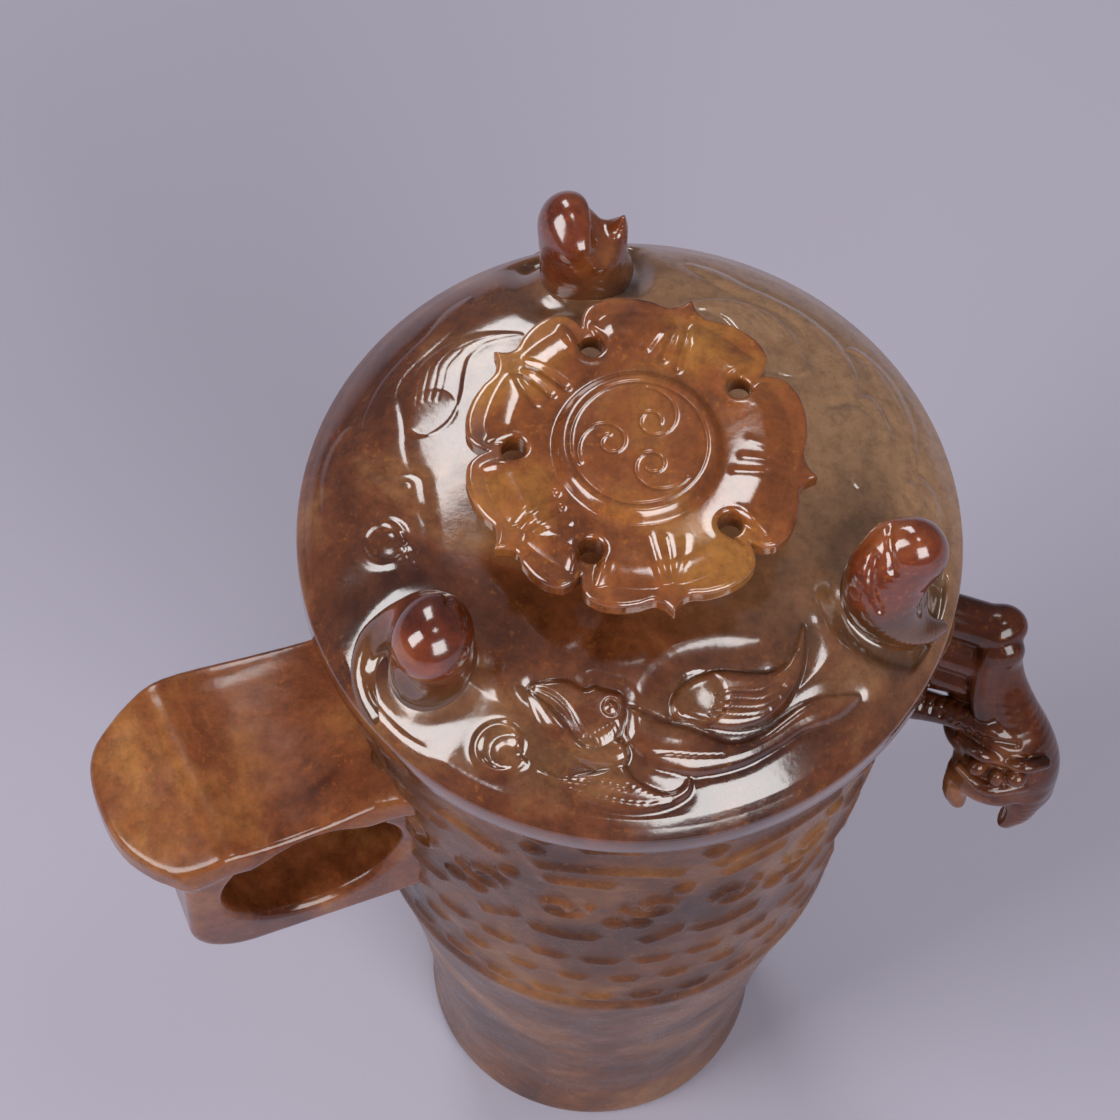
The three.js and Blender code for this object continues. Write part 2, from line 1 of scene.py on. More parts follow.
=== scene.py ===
"""Looks of a lidded jade cup: carved and polished stone over the fixed frame, floor, studio light and camera.

Carving is worked out in millimetres and in the frame's own axes, and goes into metres where a mesh is made.
Bearings are in degrees round +Z from +X.
"""

import math

import bpy
import numpy as np
from mathutils import Matrix, Vector


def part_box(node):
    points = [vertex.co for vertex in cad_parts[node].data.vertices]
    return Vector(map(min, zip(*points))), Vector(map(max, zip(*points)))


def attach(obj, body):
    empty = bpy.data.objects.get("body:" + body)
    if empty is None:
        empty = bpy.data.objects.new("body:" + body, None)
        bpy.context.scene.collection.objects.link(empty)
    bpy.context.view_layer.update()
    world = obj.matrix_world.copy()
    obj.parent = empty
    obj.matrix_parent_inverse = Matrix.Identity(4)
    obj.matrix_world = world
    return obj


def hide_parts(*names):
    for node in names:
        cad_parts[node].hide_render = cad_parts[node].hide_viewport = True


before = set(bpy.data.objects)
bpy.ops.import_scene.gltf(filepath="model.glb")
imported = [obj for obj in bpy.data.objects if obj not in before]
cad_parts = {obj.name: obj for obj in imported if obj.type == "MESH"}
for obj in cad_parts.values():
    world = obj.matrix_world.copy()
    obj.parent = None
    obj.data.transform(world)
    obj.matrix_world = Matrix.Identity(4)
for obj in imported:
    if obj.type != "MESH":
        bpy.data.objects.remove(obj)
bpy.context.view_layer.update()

MM = 0.001


def box_mm(node):
    """The low and the high corner of a node's box, in millimetres."""
    return [np.array(corner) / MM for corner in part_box(node)]


# Sizes taken from the frame
lid_high = box_mm("lid")[1]
bowl_high = box_mm("cup_bowl")[1]
foot_high = box_mm("cup_foot")[1]
stem_high = box_mm("knob_stem")[1]
flower_low, flower_high = box_mm("flower_knob")
RIM_RADIUS = bowl_high[0]
RIM_HEIGHT = bowl_high[2]
GIRDLE_HEIGHT = foot_high[2]
GIRDLE_RADIUS = foot_high[0]
FOOT_RADIUS = 22.0
LID_RADIUS = lid_high[0]
LID_CROWN = lid_high[2]
FLOWER_TOP = flower_high[2]
FLOWER_UNDERSIDE = flower_low[2]
STEM_FOOT = stem_high[0]
STEM_WAIST = 5.0

# Sizes of the turned forms
RIM_WALL = 3.2
RIM_ROUND = 0.6
CAVITY_FLOOR = 70.0
CAVITY_FILLET = 12.0
FOOT_WAIST_RADIUS = 23.6
FOOT_WAIST_HEIGHT = 34.0
FOOT_BAND_HEIGHT = 10.0
FOOT_ROUND = 1.2
LID_DOME_RISE = 10.0
LID_SHOULDER_POWER = 5
LID_EDGE_ROUND = 0.9
LID_SEAT_GAP = 0.3
SPIGOT_HEIGHT = 4.0
SPIGOT_RADIUS = 30.9
SPIGOT_WALL = 3.0
LID_CROWN_THICKNESS = 4.4
LID_ARRIS = LID_CROWN - LID_DOME_RISE
LID_UNDERSIDE = RIM_HEIGHT + LID_SEAT_GAP
ROOT_SINK = 1.8

# Fineness of the carved surfaces
LID_COLUMNS = 1200
LID_ROW = 0.17
BOWL_COLUMNS = 900
BOWL_ROW = 0.26
HOOK_STEP = 0.17
FLOWER_STEP = 0.15
RING_STEP = 0.26
DRAGON_STEP = 0.2
EDGE_SOFTNESS = 0.28
EDGE_DROP = 0.35
CROWN_REACH = 3

# Where the three hooks stand, and the hollow that runs round the foot of each
HOOK_BEARINGS = (104, 224, 344)
HOOK_REACHES = (30.0, 28.8, 29.4)
THIRD = 120
SCOOP_RADIUS = 6.6
SCOOP_WIDTH = 1.7
SCOOP_DEPTH = 1.8
SCOOP_SHARES = (1.0, 0.35, 1.0)

# Relief on the lid: a bird in the front third, drawn for a lower dome, and how strong its copies are
DRAWING_RISE = 5.0
DRAWING_SLANT = (-0.03, 0.45)
BACK_STRENGTH = 0.4
LEFT_STRENGTH = 0.18
BEAK_AND_HEAD = [
    (-10.3, -20.3), (-8, -19.4), (-6, -19.4), (-4.4, -20.2), (-3.4, -19.8), (-2.2, -20.1), (-0.4, -20.6),
    (0.2, -22.2), (0, -23.9), (-0.7, -25.4), (-2.2, -26.5), (-3.8, -26.2), (-5, -25), (-6.3, -23.3),
    (-8, -21.8),
]
NECK_LOCK = [
    (-10.4, -20.6), (-9.6, -22.6), (-8, -25.2), (-5.6, -27.3), (-2.6, -28.5), (0.3, -28.2), (0.8, -26.6),
    (-0.6, -25.2), (-3.8, -26), (-6.2, -23.5), (-8.2, -21.6),
]
BIRD_BODY = [
    (0.1, -21.5), (2.1, -22.2), (4, -22.8), (5.7, -23), (8.8, -23.9), (11.6, -24.9), (14.4, -23.8),
    (17.1, -21.4), (19.2, -19.8), (22, -18.8), (25.4, -18.4), (24, -20.6), (22, -21.8), (19.4, -22.9),
    (17.1, -24.7), (13.2, -27.3), (8.8, -28.7), (5.4, -28.5), (3.2, -27.9), (0.9, -25.9), (0.2, -24.3),
    (-0.1, -22.9),
]
BIRD_WING = [
    (5.2, -22.5), (5.2, -20.4), (7, -18.3), (10, -17.3), (13, -17.2), (15.5, -16.9), (17.3, -15.4),
    (18.2, -13.2), (18.8, -11.2), (19.1, -13), (18.9, -16), (18, -18.8), (16.7, -20.8), (14.8, -22.5),
    (12, -23.4), (9, -23.3), (6.8, -22.9),
]
BIRD_TAIL = [
    (-10.2, -27.7), (-9, -28.7), (-7, -29.2), (-5, -29.5), (-2.5, -29), (-0.5, -28), (0.6, -28.1),
    (1.6, -29.6), (3.6, -30.7), (5.5, -31), (6.9, -30.2), (7.6, -29.1), (7.7, -30.8), (6.5, -32.1),
    (4.5, -33.2), (2, -33.7), (-1, -33.4), (-3.5, -32.6), (-6, -31.5), (-8.5, -29.9),
]
WING_HOLLOW = ((8.2, -20.4), -0.7, 3)
WING_FEATHERS = [
    [(9.6, -19.8), (12, -19.5), (14.4, -19.3), (16.6, -17.9)],
    [(9.8, -20.6), (12.4, -20.4), (14.8, -20.2), (17.2, -18.6)],
    [(9.6, -21.4), (12.2, -21.4), (14.6, -21.1), (16.6, -19.8)],
    [(9.2, -22.2), (11.6, -22.3), (13.8, -22), (15.6, -21.2)],
    [(15.6, -17.6), (16.9, -16.2), (18, -14)],
    [(16.6, -18.6), (17.8, -16.6), (18.5, -14.4)],
]
BODY_LINES = [[(2.5, -27.2), (5, -26.9), (8, -26.9), (11, -26.6)]]
HEAD_LINES = [[(-9.6, -20.4), (-7.6, -21.3), (-6.1, -22.6), (-5, -24.3), (-4.1, -25.4)]]
EYE_CENTRE = (-1.4, -22.3)
EYE_RADIUS = 0.8
EYE_LINE = (0.2, 0.14)
EYE_BOSS = (0.16, 0.45)
FRILL_START = (-2.8, -26.4)
FRILL_END = (-0.3, -24.8)
FRILL_COUNT = 7
FRILL_BARB = (-0.5, 0.9)
FRILL_LINE = (0.14, 0.12)
TAIL_LINES = [
    [(-8.6, -28.7), (-5, -30.2), (-1, -30.4), (1, -31)],
    [(-6, -30.6), (-2, -31.8), (2, -32.3), (5.8, -31.8)],
]
TAIL_BARB_COUNT = 14
TAIL_BARB_FIRST = (-6.2, -29.9)
TAIL_BARB_SPAN = (12, -1.1)
TAIL_BARB_LINE = (0.08, 0.16)
# Figures of the bird: outline, depth and width of the sunk ground beside it, rounding of its edge, crown
BIRD_FIGURES = [
    (BIRD_TAIL, 0.25, 2, 0.5, 0),
    (NECK_LOCK, 0.6, 3.4, 0.5, 0),
    (BIRD_BODY, 0.3, 1.6, 0.6, 0),
    (BEAK_AND_HEAD, 0.45, 1.6, 0.5, 0.15),
    (BIRD_WING, 1, 4, 0.55, 0),
]
# Fine lines on the bird: lines, depth and width
BIRD_CUTS = [
    (TAIL_LINES, 0.14, 0.2),
    (WING_FEATHERS + BODY_LINES, 0.13, 0.14),
    (HEAD_LINES, 0.25, 0.18),
]

# Cloud scrolls
SCROLL_CENTRE = (-13, -26.9)
LEFT_SCROLL_CENTRE = (-27, -4)
LEFT_SCROLL_STRENGTH = 0.5
SCROLL_RADIUS = 2.9
SCROLL_HOLLOW = (0.3, 2.4)
SCROLL_RIDGE = (0.55, 0.6)
SCROLL_BOSS = (0.6, 1.7)
SCROLL_BOSS_SHIFT = (0.8, -0.5)

# The shoulder is ground straight between two radii, beside the bird and outside the left hook
FACET_START = 28.0
FACET_END = 35.2
FACET_FADE = 8.0
BIRD_FACET = (-94, -40)
HOOK_FACET = (202, 258)
# All carving on the lid fades out before its edge
CARVING_MARGIN = 1.0
CARVING_FADE = 1.2

# Painted shade in the cuts: how far a millimetre of cut darkens the stone's colour, where 1 is as dark as a
# cut gets
LID_PAINTED_SHADE = 0.7
BOWL_PAINTED_SHADE = 0.3
DRAGON_PAINTED_SHADE = 2.0

# Hooks: outward, counter-clockwise and up from where the hook's own axis meets the dome, then any radius
TIPPED_HOOK = 1
WIDE_HOOK = 2
FOOT_SOFTNESS = (0.6, 1.3, 1.2)
HOOK_TOP = 12.4
HOOK_CORE = [(0, 0.1, -6, 4.3), (0, 0.1, 1.5, 4.5), (0.4, 0.5, 5, 4)]
HOOK_HOLLOW = [(6, 0.6, 1.4), (2.6, 3, 3.2)]
HOOK_HEAD = [(1.6, 1.2, 7.8), (3.8, 3.5, 4.6)]
HOOK_WIDE_HEAD = [(0.7, 1, 7.6), (4.5, 4.3, 4.8)]
HOOK_FLANK = [
    (-0.9, 0.6, 8.2, 2.8), (-1.6, -1.2, 5.4, 3.2), (-1, -2.4, 1.8, 3.4), (0.8, -2.8, -1, 3),
    (3, -2.6, -3, 2.2), (5, -1.4, -4.4, 1.6), (6.4, -0.2, -5.2, 0.9),
]
HOOK_WIDE_FLANK = [
    (-0.8, 0, 8.2, 3.2), (-1.2, -2.2, 6, 2.7), (-0.8, -4.2, 2.8, 2.3), (0.6, -6, -0.6, 2),
    (2.6, -6.8, -3.2, 1.7), (4.7, -5.7, -5.2, 1.5), (6.3, -3.4, -6.2, 1.2), (7, -1, -6.8, 0.9),
]
HOOK_TIP = [(-0.2, -2.4, 5, 2.6), (0.4, -3.8, 7.4, 1.5), (0.6, -4.7, 9.8, 0.3)]
HOOK_SADDLE = [(-4.5, -2.2, 10), (5, -2.4, 9.4)]
HOOK_HEART = (0.4, -0.2, 4.5)
HOOK_CREASES = {
    2: [[(-2.4, -3.6, 9), (-2.9, -1.4, 9.6), (-1.8, 0.2, 10.8)]],
    3: [
        [(-1.4, 1.6, 11), (-0.6, -0.4, 9.4), (0.4, -1.6, 7.4)],
        [(-1.6, -1.6, 8.6), (-1, -3, 6.4), (0.2, -4.4, 4.2)],
    ],
}

# Flower: bearings of the petals' points and of the notches between them
PETAL_TIPS = (74.9, 145.8, 221.2, 284.1, 354.3)
PETAL_FOLDS = (0.9, 1, 0.8, 0.3, 0.25)
PETAL_NOTCHES = (37.2, 115.1, 184.4, 250.9, 320.3)
# Radius of a petal's edge at each share of the way from its point to a notch
PETAL_EDGE = [
    (0, 19.4), (0.05, 18.6), (0.15, 17.9), (0.34, 18.3), (0.55, 18.7), (0.76, 18.6), (0.89, 18), (0.96, 17),
    (1, 16),
]
PETAL_CROWN_RADIUS = 13.8
# Heights on a petal: its valley below the disc, crown, beaded edge, fall to the edge and sunk notch
PETAL_VALLEY = 1.3
PETAL_CROWN = 0.6
PETAL_BEAD = 0.3
PETAL_FALL = 2.3
PETAL_NOTCH = 0.8
PETAL_ROUND = 0.5
# Folds of a petal: turn from its point, first and last radius, depth
FOLDS = [(-2.6, 10.6, 17.4, 0.55), (1.6, 11.2, 18, 0.5), (6, 12, 16.6, 0.25)]
FOLD_WIDTH = 0.45
DISC_RADIUS = 8.8
DISC_RING_RADIUS = 7.3
DISC_LINE_DEPTH = 0.16
HOLE_CIRCLE = 13.2
HOLE_RADIUS = 1.35
COMMA_COUNT = 3
COMMA_CIRCLE = 3.0
COMMA_RADII = (4, 1)
COMMA_TURN = -480
COMMA_FLING = 3
FIRST_COMMA_BEARING = 65

# Finger ring and thumb plate: outward from the axis, across, up
RING_BEARING = 203.6
RING_CENTRE = (43, 95)
RING_HALF = 14.2
BORE_CENTRE = (41.9, 96.9)
BORE_RADIUS = 10.7
RING_CORNER = 8.0
RING_HALF_WIDTH = 10.7
PLATE_TOP = 110.0
PLATE_THICKNESS = 4.2
PLATE_PLAN = [
    (28, -11.4), (34, -12), (42, -13), (50, -13.5), (55, -12.6), (59.4, -10.6), (62.2, -8.4), (63.4, -5),
    (63.4, 0), (62.6, 3.8), (61, 6.8), (58.8, 9.4), (55.6, 11), (50, 11.3), (43, 11.1), (34, 10.8),
    (28, 10.6),
]
PLATE_RIDGE = (52.8, -0.09)
PLATE_DIP = 1.0
PLATE_FALL = 4.2

# Dragon: outward from the axis, across, up
DRAGON_BEARING = 345.5
# Limbs through lists of places and balls round single ones, with radii and the softness of the join
DRAGON_SHAPES = [
    # Rump
    ([(30, 5.4, 127.8), (36, 5.8, 128.2), (42, 5.7, 128.4)], [3, 2.6, 2.6], 0.01),
    ((42.4, 6.2, 128.7), (2.7, 2.4, 2.4), 0.4),
    ((43.2, 4.3, 127), (2.2, 2, 2.2), 0.4),
    # Flank
    ([(39.8, 5, 124.6), (40, 4.2, 120), (41.2, 2.8, 116), (43, 1, 112.4)], [2.2, 2.5, 3, 3.6], 1.2),
    # Back and spine
    (
        [
            (43, 4.4, 125.6), (44.2, 3, 121.8), (46, 1.6, 118),
            (47.8, 0.6, 114.4), (49.2, -0.4, 110.2), (50, -1.4, 106),
        ],
        [2.2, 2.4, 2.9, 3.4, 3.8, 3.2],
        1.2,
    ),
    ([(42, 3.6, 127), (41.8, 2, 124), (42.2, 0.8, 121.4), (43, 0, 119)], [1.5, 1.5, 1.6, 1.6], 0.6),
    # Bars to the bowl
    ([(30, 3.8, 124.4), (40, 3.6, 124)], 2.4, 0.8),
    ([(30, 3, 120.6), (40, 2.6, 120.2)], 2.2, 0.8),
    ([(30, 2, 117.8), (38, 2, 118.8), (43.6, 1.4, 119)], [1.5, 1.1, 1.2], 0.3),
    ([(30, -0.4, 115.2), (38, -0.4, 116.6), (44.2, -1, 117), (46.4, -1.4, 115.8)], [2.4, 1.7, 1.7, 1.5], 0.3),
    # Head and cheek
    ((43.4, 0.2, 113.2), (4.6, 3.4, 3.6), 1.2),
    ((45.8, -0.2, 113.6), (5.2, 4, 4.2), 1.2),
    ((46.6, -1.8, 109.8), (5.8, 3.8, 4.4), 0.8),
    ((45.9, -4, 108.4), (4.2, 2.4, 2.6), 0.6),
    # Jaws
    ([(42.6, -3, 108), (42.2, -4.2, 105.2), (42.9, -4.6, 103.4)], [2, 1.5, 1.2], 0.6),
    ([(49.8, -2.4, 107.6), (49.8, -3.6, 104.2), (48.8, -4.3, 102)], [2.8, 2.1, 1.6], 0.6),
    # Eyes and brows
    ((44, -4.4, 113.4), 1.25, 0.2),
    ((48.6, -4.4, 113.4), 1.25, 0.2),
    ([(41.2, -2.7, 115.8), (44, -4.1, 116), (46.2, -3.5, 114.9)], 0.8, 0.3),
    ([(47, -3.5, 114.9), (49.2, -3.9, 115.7), (51.2, -2.3, 114.8)], 0.8, 0.3),
    # Muzzle band and nose
    ([(42, -4.3, 111.4), (45.8, -5.9, 111.2), (49.8, -4.2, 111.2)], [0.6, 0.8, 0.6], 0.3),
    ((46.4, -5, 112.9), (0.9, 1, 1.5), 0.3),
]
MOUTH = [(46.2, -4.8, 103.6), (2.3, 5.5, 3.6)]
# Cuts over its brow and its muzzle: line, depth and width
FACE_CUTS = [
    ([(40.6, -2.4, 117.2), (42.4, -3.2, 117.4), (45, -3, 117.6), (47.6, -2.4, 117.2)], 0.4, 0.4),
    ([(41.8, -5.2, 107.6), (44.4, -6.4, 107), (47.4, -6.3, 107), (50, -4.8, 107.6)], 0.35, 0.35),
]
# Beads of the front bar, and ridges of the back
BEAD_COUNT = 9
FIRST_BEAD = 35.0
BEAD_PITCH = 1.15
BACK_RIDGE_COUNT = 5

# Relief on the bowl, over one of its repeats: across from the middle, and up from the table
BODY_UNITS = 10
BODY_GROUND = 0.5
# Height and width of each kind of carving, and the two radii of a curl
DASH_RIDGE = (0.5, 1)
BAR_RIDGE = (0.6, 0.95)
CURL_RIDGE = (0.6, 0.65)
BEAD_BOSS = (0.7, 1.6)
CURL_RADII = (3.6, 0.9)
# Rows of dashes: height, half a dash's length, shift along the row in dashes
BODY_DASHES = [(67.6, 1.3, 0), (75.4, 1, 0.5), (83, 1.5, 0)]
DASHES_PER_UNIT = 3
BODY_BARS = [
    [(-8.2, 92.6), (-4.6, 92.2), (-1.2, 92.8)],
    [(5.4, 91.6), (7.2, 93), (9, 94.8)],
    [(-7.6, 117), (-3.8, 118.4), (0, 118.8), (3.8, 118.4), (7.6, 117)],
    [(-6.4, 112.6), (-3.2, 113.4), (0, 113.6)],
    [(-2.6, 125.8), (0, 126.6), (2.6, 126.2)],
    [(-9.4, 127.2), (-7.4, 125.8)],
]
BODY_BEADS = [(1.2, 98.4), (4.2, 98.4), (8.8, 110.2), (-8.6, 121.6)]
# Curls: centre, bearing of the outer end, turn
BODY_CURLS = [((-5.2, 103.4), 20, -400), ((5.6, 105.6), 200, 380)]

# The camera stands where the photograph was taken from: metres, radians and millimetres of lens
CAMERA_PLACE = (-0.00759, -0.20632, 0.55473)
CAMERA_TILT = 1.11939222
CAMERA_ROLL = 0.0592448
CAMERA_LENS = 135
CAMERA_SENSOR = 36

# Softboxes: bearing from the front, positive to the right, and height in degrees; width and length in metres
LAMPS = {
    "front_left": (-64, 35, 0.5, 0.76),
    "front_right": (28, 30, 0.64, 0.6),
    "overhead": (60, 80, 0.2, 0.2),
    "back_left": (-156, 45, 0.28, 0.6),
}
LAMP_RADIANCE = 6.2
WORLD_COLOUR = (205, 200, 214)
WORLD_STRENGTH = 0.22
FLOOR_COLOUR = (168, 163, 178)
FLOOR_ROUGHNESS = 0.8
FLOOR_REACH = 3000


# Curves and distances


def ring_point(radius, bearing):
    """The plan point at a radius and bearing, or one for each of them."""
    angle = np.radians(bearing)
    return np.stack([radius * np.cos(angle), radius * np.sin(angle)], -1)


def smooth_line(points, steps=6, closed=False):
    """A smooth curve through the points."""
    p = np.asarray(points, float)
    if closed:
        p = np.vstack([p[-1:], p, p[:2]])
    else:
        p = np.vstack([2 * p[0] - p[1], p, 2 * p[-1] - p[-2]])
    t = np.linspace(0, 1, steps, endpoint=False)[:, None]
    spans = []
    for a, b, c, d in zip(p, p[1:], p[2:], p[3:]):
        bend = (2 * a - 5 * b + 4 * c - d) * t**2 + (3 * b - a - 3 * c + d) * t**3
        spans.append(b + 0.5 * ((c - a) * t + bend))
    if not closed:
        spans.append(p[-2:-1])
    return np.vstack(spans)


def spiral(centre, outer, inner, start, turn, steps=30, fling=1):
    """A spiral from its outer end to its inner one, or a circle; a negative turn runs clockwise."""
    share = np.linspace(0, 1, steps + 1)
    radius = inner + (outer - inner) * (1 - share) ** fling
    return centre + ring_point(radius, start + turn * share)


def distance_to(points, line, reach):
    """Distance from each point to a polyline, cut off at reach."""
    nearest = np.full(len(points), float(reach))
    near = np.all((points > line.min(0) - reach) & (points < line.max(0) + reach), axis=1)
    chosen = points[near]
    best = np.full(len(chosen), float(reach) ** 2)
    for a, b in zip(line, line[1:]):
        along = b - a
        share = np.clip((chosen - a) @ along / max(along @ along, 1e-9), 0, 1)
        gap = chosen - a - share[:, None] * along
        np.minimum(best, np.einsum("ij,ij->i", gap, gap), out=best)
    nearest[near] = np.sqrt(best)
    return nearest


def beyond(points, outline, reach):
    """Signed distance to a closed outline, cut off at reach: positive outside it and negative inside."""
    loop = np.vstack([outline, outline[:1]])
    gap = distance_to(points, loop, reach)
    inside = np.zeros(len(points), bool)
    for (x0, y0), (x1, y1) in zip(loop, loop[1:]):
        if y0 == y1:
            continue
        spans = (y0 > points[:, 1]) != (y1 > points[:, 1])
        inside ^= spans & (points[:, 0] < x0 + (points[:, 1] - y0) * (x1 - x0) / (y1 - y0))
    return np.where(inside, -gap, gap)


def smoothstep(value):
    value = np.clip(value, 0, 1)
    return value * value * (3 - 2 * value)


def bell(gap, width):
    """1 where there is no gap, and next to nothing beyond twice the width."""
    return np.exp(-((gap / width) ** 2))


def polar(plan):
    """Radius and bearing, 0 to 360, of plan points."""
    return np.hypot(*plan.T), np.degrees(np.arctan2(plan[:, 1], plan[:, 0])) % 360


class Relief:
    """Heights over a smooth ground, in millimetres, at fixed points of a plan."""

    def __init__(self, points):
        self.points = points
        self.height = np.zeros(len(points))

    def raise_figure(self, outline, depth, scoop, round_edge=0.5, crown=0.0):
        """Sinks the ground towards an outline and leaves the figure standing, with a rounded edge."""
        reach = max(scoop, 3 * round_edge, 3.0)
        gap = beyond(self.points, outline, reach)
        ground = self.height - depth * np.clip(1 - gap / scoop, 0, 1) ** 1.6
        inside = np.clip(-gap, 0, None)
        top = -EDGE_DROP * bell(inside, round_edge) + crown * smoothstep(inside / CROWN_REACH)
        figure = np.where(gap < reach, top, self.height)
        blend = smoothstep(0.5 - gap / (2 * EDGE_SOFTNESS))
        self.height = np.where(gap >= reach, self.height, ground + (figure - ground) * blend)

    def engrave(self, line, depth, width):
        gap = distance_to(self.points, line, 4 * width)
        self.height -= depth * bell(gap, width)

    def ridge(self, line, height, width):
        self.engrave(line, -height, width)

    def boss(self, centre, height, radius):
        gap = np.hypot(*(self.points - centre).T)
        self.height += height * np.clip(1 - (gap / radius) ** 2, 0, None) ** 0.6


# Meshes


def put_in_scene(name, data):
    item = bpy.data.objects.new(name, data)
    bpy.context.scene.collection.objects.link(item)
    return item


def make_object(name, points, quads=(), triangles=()):
    """A smooth-shaded mesh object from millimetre points."""
    mesh = bpy.data.meshes.new(name)
    corners = np.concatenate([np.asarray(quads, int).ravel(), np.asarray(triangles, int).ravel()])
    sizes = np.concatenate([np.full(len(quads), 4), np.full(len(triangles), 3)]).astype(int)
    mesh.vertices.add(len(points))
    mesh.vertices.foreach_set("co", (np.asarray(points) * MM).astype(np.float32).ravel())
    mesh.loops.add(len(corners))
    mesh.loops.foreach_set("vertex_index", corners)
    mesh.polygons.add(len(sizes))
    mesh.polygons.foreach_set("loop_start", np.concatenate([[0], np.cumsum(sizes)[:-1]]))
    mesh.update(calc_edges=True)
    mesh.validate()
    mesh.shade_smooth()
    return put_in_scene(name, mesh)


def turned_points(profile, columns):
    """Rows of points from [radius, height] corners turned about the axis, as rows by columns by 3."""
    angle = np.linspace(0, 2 * np.pi, columns, endpoint=False)
    profile = np.asarray(profile, float)
    ring = np.stack([np.cos(angle), np.sin(angle)], -1)
    plan = profile[:, None, :1] * ring[None]
    height = np.broadcast_to(profile[:, None, 1:], (len(profile), columns, 1))
    return np.concatenate([plan, height], -1)


def grid_object(name, rows, first_centre, last_centre):
    """Closed mesh from rows of points round the axis, with a point closing each end."""
    count, columns = rows.shape[:2]
    index = np.arange(count * columns).reshape(count, columns)
    turned = np.roll(index, -1, axis=1)
    quads = np.stack([index[:-1], turned[:-1], turned[1:], index[1:]], -1).reshape(-1, 4)
    points = np.vstack([rows.reshape(-1, 3), first_centre, last_centre])
    first, last = len(points) - 2, len(points) - 1
    low = np.stack([turned[0], index[0], np.full(columns, first)], -1)
    high = np.stack([index[-1], turned[-1], np.full(columns, last)], -1)
    return make_object(name, points, quads, np.vstack([low, high]))


def arc(centre, radius, start, end, steps=6):
    return list(centre + ring_point(radius, np.linspace(start, end, steps + 1)))


def soft_corner(radius, height, side):
    """Three points that round the foot of an upright face off, on to a level one on the given side."""
    return [(radius, height + 0.5), (radius + 0.15 * side, height + 0.15), (radius + 0.5 * side, height)]


def mark(piece, name, values):
    """Keeps a value from 0 to 1 at each point for the material."""
    attribute = piece.data.attributes.new(name, "FLOAT", "POINT")
    attribute.data.foreach_set("value", np.clip(values, 0, 1).astype(np.float32))


